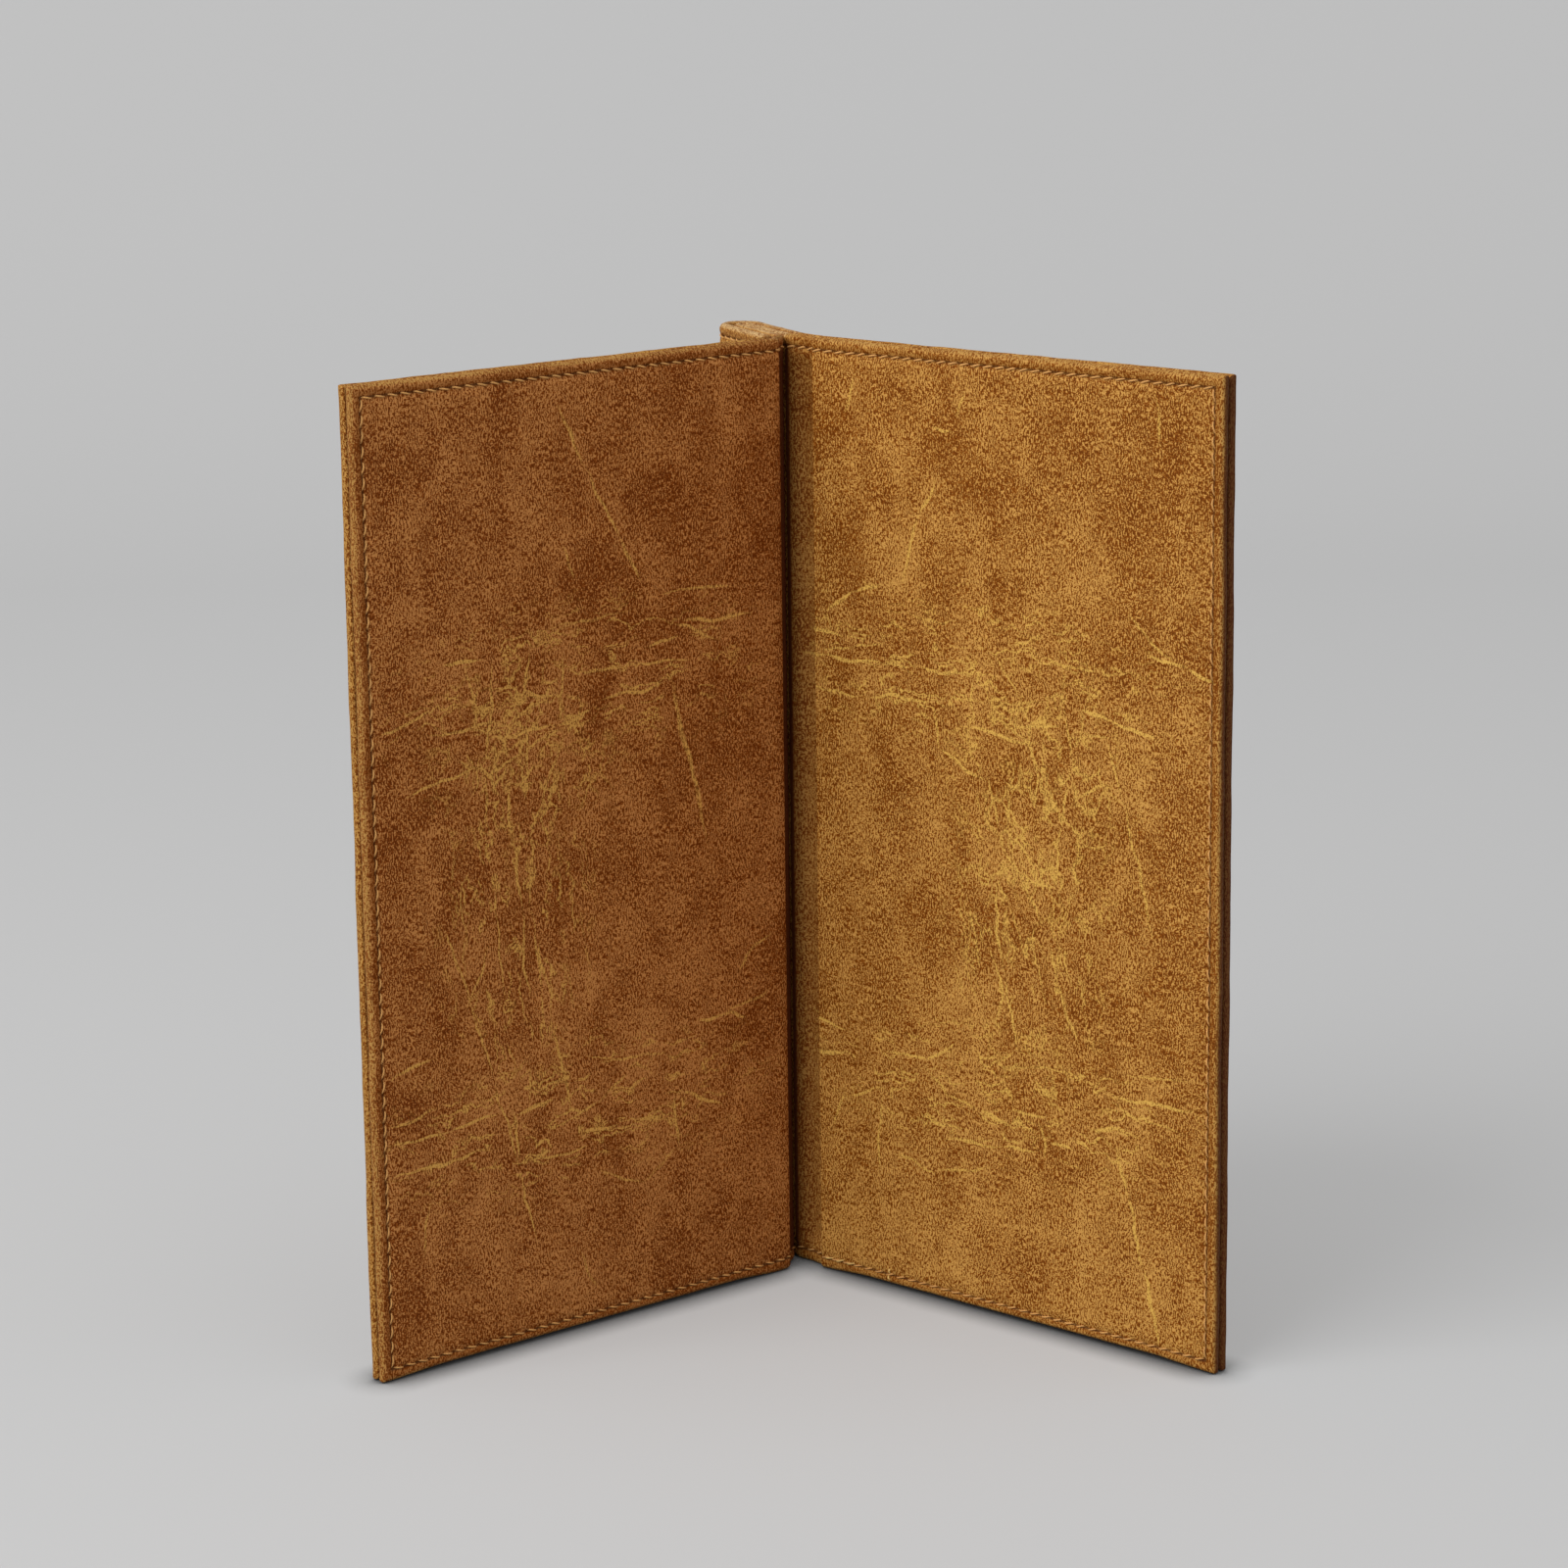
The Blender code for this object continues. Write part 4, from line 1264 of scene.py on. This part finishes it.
class NOTEBOOK_OT_linings(bpy.types.Operator):
    """Lays the lining over the inside of both covers and through their hinges"""

    bl_idname = "notebook.linings"
    bl_label = "Linings"

    def execute(self, context):
        sizes, finish = context.scene.notebook_sizes, context.scene.notebook_finish
        looks = {
            "front": (FRONT_PATCHES, FRONT_STROKES, FRONT_SPOTS),
            "back": (BACK_PATCHES, BACK_STROKES, BACK_SPOTS),
        }
        tints = {"front": FRONT_TINT_AND_SHADE, "back": (1.0, 1.0, 1.0)}
        for number, (name, side, opened) in enumerate(COVERS):
            sheet = cover_sheet(side, opened, 1, sizes, sizes.seed + 10 * number)
            piece = folded_sheet(name + "_lining_leather", sheet, sizes)
            fore = sheet.skin[-1] if name == "back" else None
            offset = (0.7 * number, 0.35, 0.0)
            paint(piece, leather(name + "_lining", finish, offset, *looks[name], tints[name], fore=fore))
            start, end = bend_points(sheet)
            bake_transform(piece)
            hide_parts(name + "_lining", name + "_hinge_lining")
        return {"FINISHED"}


class NOTEBOOK_OT_hides(bpy.types.Operator):
    """Lays the hide over the outside of both covers and through their hinges"""

    bl_idname = "notebook.hides"
    bl_label = "Hides"

    def execute(self, context):
        sizes, finish = context.scene.notebook_sizes, context.scene.notebook_finish
        look = [
            ("crease", (0.060, 0.165), (0.080, 0.020), (22.0, 150.0), 0.05, 0.8),
            ("crease", (0.070, 0.060), (0.080, 0.018), (22.0, 150.0), -0.04, 0.8),
            ("crackle", (0.070, 0.115), (0.030, 0.030), (180.0, 140.0), 0.0, 0.7),
        ]
        for number, (name, side, opened) in enumerate(COVERS):
            sheet = cover_sheet(side, opened, -1, sizes, sizes.seed + 50 + 10 * number)
            piece = folded_sheet(name + "_hide", sheet, sizes)
            fore = sheet.skin[-1] if name == "back" else None
            paint(piece, leather(name + "_hide", finish, (2.3 + 0.6 * number, 1.1, 0.0), look, fore=fore))
            start, end = bend_points(sheet)
            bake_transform(piece)
            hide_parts(name + "_outer_leather", name + "_hinge_leather")
        return {"FINISHED"}


class NOTEBOOK_OT_spine(bpy.types.Operator):
    """Folds the hide and the lining of the binding block round the spine"""

    bl_idname = "notebook.spine"
    bl_label = "Spine"

    def execute(self, context):
        sizes, finish = context.scene.notebook_sizes, context.scene.notebook_finish
        for name, face, node_name, slot in (
            ("spine_hide", 1, "spine_leather", "outer_leather"),
            ("spine_lining_leather", -1, "spine_lining", "lining_leather"),
        ):
            piece = folded_sheet(name, spine_sheet(face, sizes.seed + 90 + face), sizes)
            paint(piece, leather(name, finish, (4.0 + face, 0.2, 0.0), (), edge=SPINE_EDGE_WEAR_AND_SHEEN))
            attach(piece, "binding")
            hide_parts(node_name)
        return {"FINISHED"}


class NOTEBOOK_OT_seams(bpy.types.Operator):
    """Sews the covers and the spine"""

    bl_idname = "notebook.seams"
    bl_label = "Seams"

    def execute(self, context):
        sizes, finish = context.scene.notebook_sizes, context.scene.notebook_finish
        thread = thread_finish("sewing_thread", finish.thread)
        for number, (name, side, opened) in enumerate(COVERS):
            for face, part in ((1, "lining"), (-1, "outer")):
                sheet = cover_sheet(side, opened, face, sizes, sizes.seed + 20 * number + face)
                piece = stitches(f"{name}_{part}_stitches", sheet, sizes, seam_holes(sheet, sizes))
                paint(piece, thread)
                start, end = bend_points(sheet)
                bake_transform(piece)
                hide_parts(f"{name}_{part}_thread")
        self.back_tack(sizes)
        sheet = spine_sheet(1, sizes.seed + 60)
        piece = stitches("spine_stitches", sheet, sizes, seam_holes(sheet, sizes))
        paint(piece, thread)
        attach(piece, "binding")
        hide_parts("spine_top_thread", "spine_bottom_thread")
        return {"FINISHED"}

    def back_tack(self, sizes):
        """Three stitches sewn twice by the hinge, and the two cut ends of the thread."""
        sheet = cover_sheet(-1, BACK_OPEN, 1, sizes, sizes.seed)
        inset, start = sizes.stitch_inset, sheet.skin[1]
        along = start + 0.0006 + np.arange(4) * sizes.stitch_pitch
        tack = np.stack([along, inset + 0.0003 * np.array([1.0, -0.4, 0.8, 0.0])], axis=1)
        ends = np.array([[0.0215, 0.0031], [0.0222, 0.0047], [0.0216, 0.0030], [0.0217, 0.0013]])
        ends = ends + [start, 0.0]
        piece = stitches("back_lining_back_tack", sheet, sizes, [tack, ends[:2], ends[2:]], DOUBLED_LIFT)
        paint(piece, thread_finish("fresh_thread", FRESH_THREAD))
        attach(piece, "back_cover")


class NOTEBOOK_OT_stiffeners(bpy.types.Operator):
    """Gives the boards and the screw posts of the frame their finishes"""

    bl_idname = "notebook.stiffeners"
    bl_label = "Boards and posts"

    def execute(self, context):
        finish = context.scene.notebook_finish
        board, brass = greyboard_finish("greyboard", finish), brass_finish("brass", finish)
        for name in ("front_board", "back_board", "front_strip_board", "back_strip_board"):
            paint(frame["nodes"][name], board)
        for name in ("lower_post", "upper_post", "lower_screw", "upper_screw"):
            paint(frame["nodes"][name], brass)
        return {"FINISHED"}


class NOTEBOOK_OT_stage(bpy.types.Operator):
    """Sets up the floor, the key lamp, the light from all round and the camera"""

    bl_idname = "notebook.stage"
    bl_label = "Stage"

    def execute(self, context):
        scene, stage = context.scene, context.scene.notebook_stage
        self.backdrop(stage)
        self.lamp(scene, "key", (-1.15, -1.0, 1.35), 1.5, stage.key_power)
        world = bpy.data.worlds.new("soft_room")
        world.use_nodes = True
        sky = world.node_tree.nodes["Background"]
        sky.inputs["Color"].default_value = (1.0, 1.0, 1.0, 1.0)
        sky.inputs["Strength"].default_value = stage.sky
        scene.world = world
        scene.view_settings.view_transform = "Standard"
        camera = bpy.data.objects.new("camera", bpy.data.cameras.new("camera"))
        camera.data.lens = stage.lens
        camera.data.sensor_width = 36.0
        camera.data.clip_start, camera.data.clip_end = 0.05, 20.0
        level = Matrix.Rotation(math.pi / 2 - stage.camera_pitch, 4, "X")
        turn = Matrix.Rotation(stage.camera_roll, 4, "Z")
        camera.matrix_world = Matrix.Translation(stage.camera_place) @ level @ turn
        scene.collection.objects.link(camera)
        scene.camera = camera
        return {"FINISHED"}

    def backdrop(self, stage):
        """Floor and wall in one sweep: a line, a quarter circle and a line, carried sideways."""
        turn = np.linspace(0.0, math.pi / 2, 17)
        y = np.concatenate([[-4.0, 0.0], 1.0 + 0.7 * np.sin(turn), [1.7]])
        z = np.concatenate([[0.0, 0.0], 0.7 * (1.0 - np.cos(turn)), [4.0]]) - 0.0001
        x = np.linspace(-4.0, 4.0, 9)
        grid_x, grid_y = np.meshgrid(x, y, indexing="ij")
        points = np.stack([grid_x, grid_y, np.broadcast_to(z, grid_y.shape)], axis=-1).reshape(-1, 3)
        mesh = bpy.data.meshes.new("backdrop")
        mesh.from_pydata(points.tolist(), [], quads(len(x), len(y)).tolist())
        mesh.shade_smooth()
        sweep = bpy.data.objects.new("backdrop", mesh)
        bpy.context.scene.collection.objects.link(sweep)
        material, tree, shader = new_finish("backdrop", 0.9, specular=0.1)
        shader.inputs["Emission Color"].default_value = (1.0, 1.0, 1.0, 1.0)
        rays = node(tree, "ShaderNodeLightPath").outputs
        seen = maths(tree, "MAXIMUM", rays["Is Camera Ray"], rays["Is Glossy Ray"])
        seen = maths(tree, "MAXIMUM", seen, rays["Is Transmission Ray"])
        # Painted contact shadow: the floor's colour and its pale glow darken where the cover stands close
        # over it
        clear = node(tree, "ShaderNodeAmbientOcclusion", {"Distance": 0.009}, samples=2).outputs["AO"]
        clear = maths(tree, "POWER", clear, 2.0)
        floor_and_painted_shadow = mixed(tree, clear, (0.02, 0.02, 0.02, 1.0), shade(stage.floor))
        tree.links.new(floor_and_painted_shadow, shader.inputs["Base Color"])
        pale = maths(tree, "MULTIPLY", clear, stage.paleness)
        tree.links.new(maths(tree, "MULTIPLY", seen, pale), shader.inputs["Emission Strength"])
        paint(sweep, material)

    def lamp(self, scene, name, place, size, power):
        """A square lamp that looks at the middle of the cover."""
        lamp = bpy.data.objects.new(name, bpy.data.lights.new(name, "AREA"))
        lamp.data.size = size
        lamp.data.energy = power
        aim = Vector((0.0, 0.0, 0.1)) - Vector(place)
        lamp.matrix_world = Matrix.Translation(place) @ aim.to_track_quat("-Z", "Y").to_matrix().to_4x4()
        scene.collection.objects.link(lamp)


class NOTEBOOK_PT_panel(bpy.types.Panel):
    """Lists the sizes and finishes and the steps that make the cover"""

    bl_idname = "NOTEBOOK_PT_panel"
    bl_label = "Notebook cover"
    bl_space_type = "VIEW_3D"
    bl_region_type = "UI"
    bl_category = "Notebook cover"

    def draw(self, context):
        for group_name in SETTINGS:
            settings = getattr(context.scene, group_name)
            box = self.layout.box()
            for name in settings.__annotations__:
                box.prop(settings, name)
        for step in STEPS:
            self.layout.operator(step.bl_idname)


STEPS = (
    NOTEBOOK_OT_linings,
    NOTEBOOK_OT_hides,
    NOTEBOOK_OT_spine,
    NOTEBOOK_OT_seams,
    NOTEBOOK_OT_stiffeners,
    NOTEBOOK_OT_stage,
)
SETTINGS = {
    "notebook_sizes": NotebookSizes,
    "notebook_finish": NotebookFinish,
    "notebook_stage": NotebookStage,
}


def register():
    """Makes the settings, the steps and the panel known."""
    for kind in (*SETTINGS.values(), *STEPS, NOTEBOOK_PT_panel):
        bpy.utils.register_class(kind)
    for name, kind in SETTINGS.items():
        setattr(bpy.types.Scene, name, PointerProperty(type=kind))


def unregister():
    """Takes them away again."""
    for name in SETTINGS:
        delattr(bpy.types.Scene, name)
    for kind in (NOTEBOOK_PT_panel, *reversed(STEPS), *SETTINGS.values()):
        bpy.utils.unregister_class(kind)


def main():
    """Dresses the frame step by step."""
    register()
    bpy.ops.notebook.linings()
    bpy.ops.notebook.hides()
    bpy.ops.notebook.spine()
    bpy.ops.notebook.seams()
    bpy.ops.notebook.stiffeners()
    bpy.ops.notebook.stage()


if __name__ == "__main__":
    main()
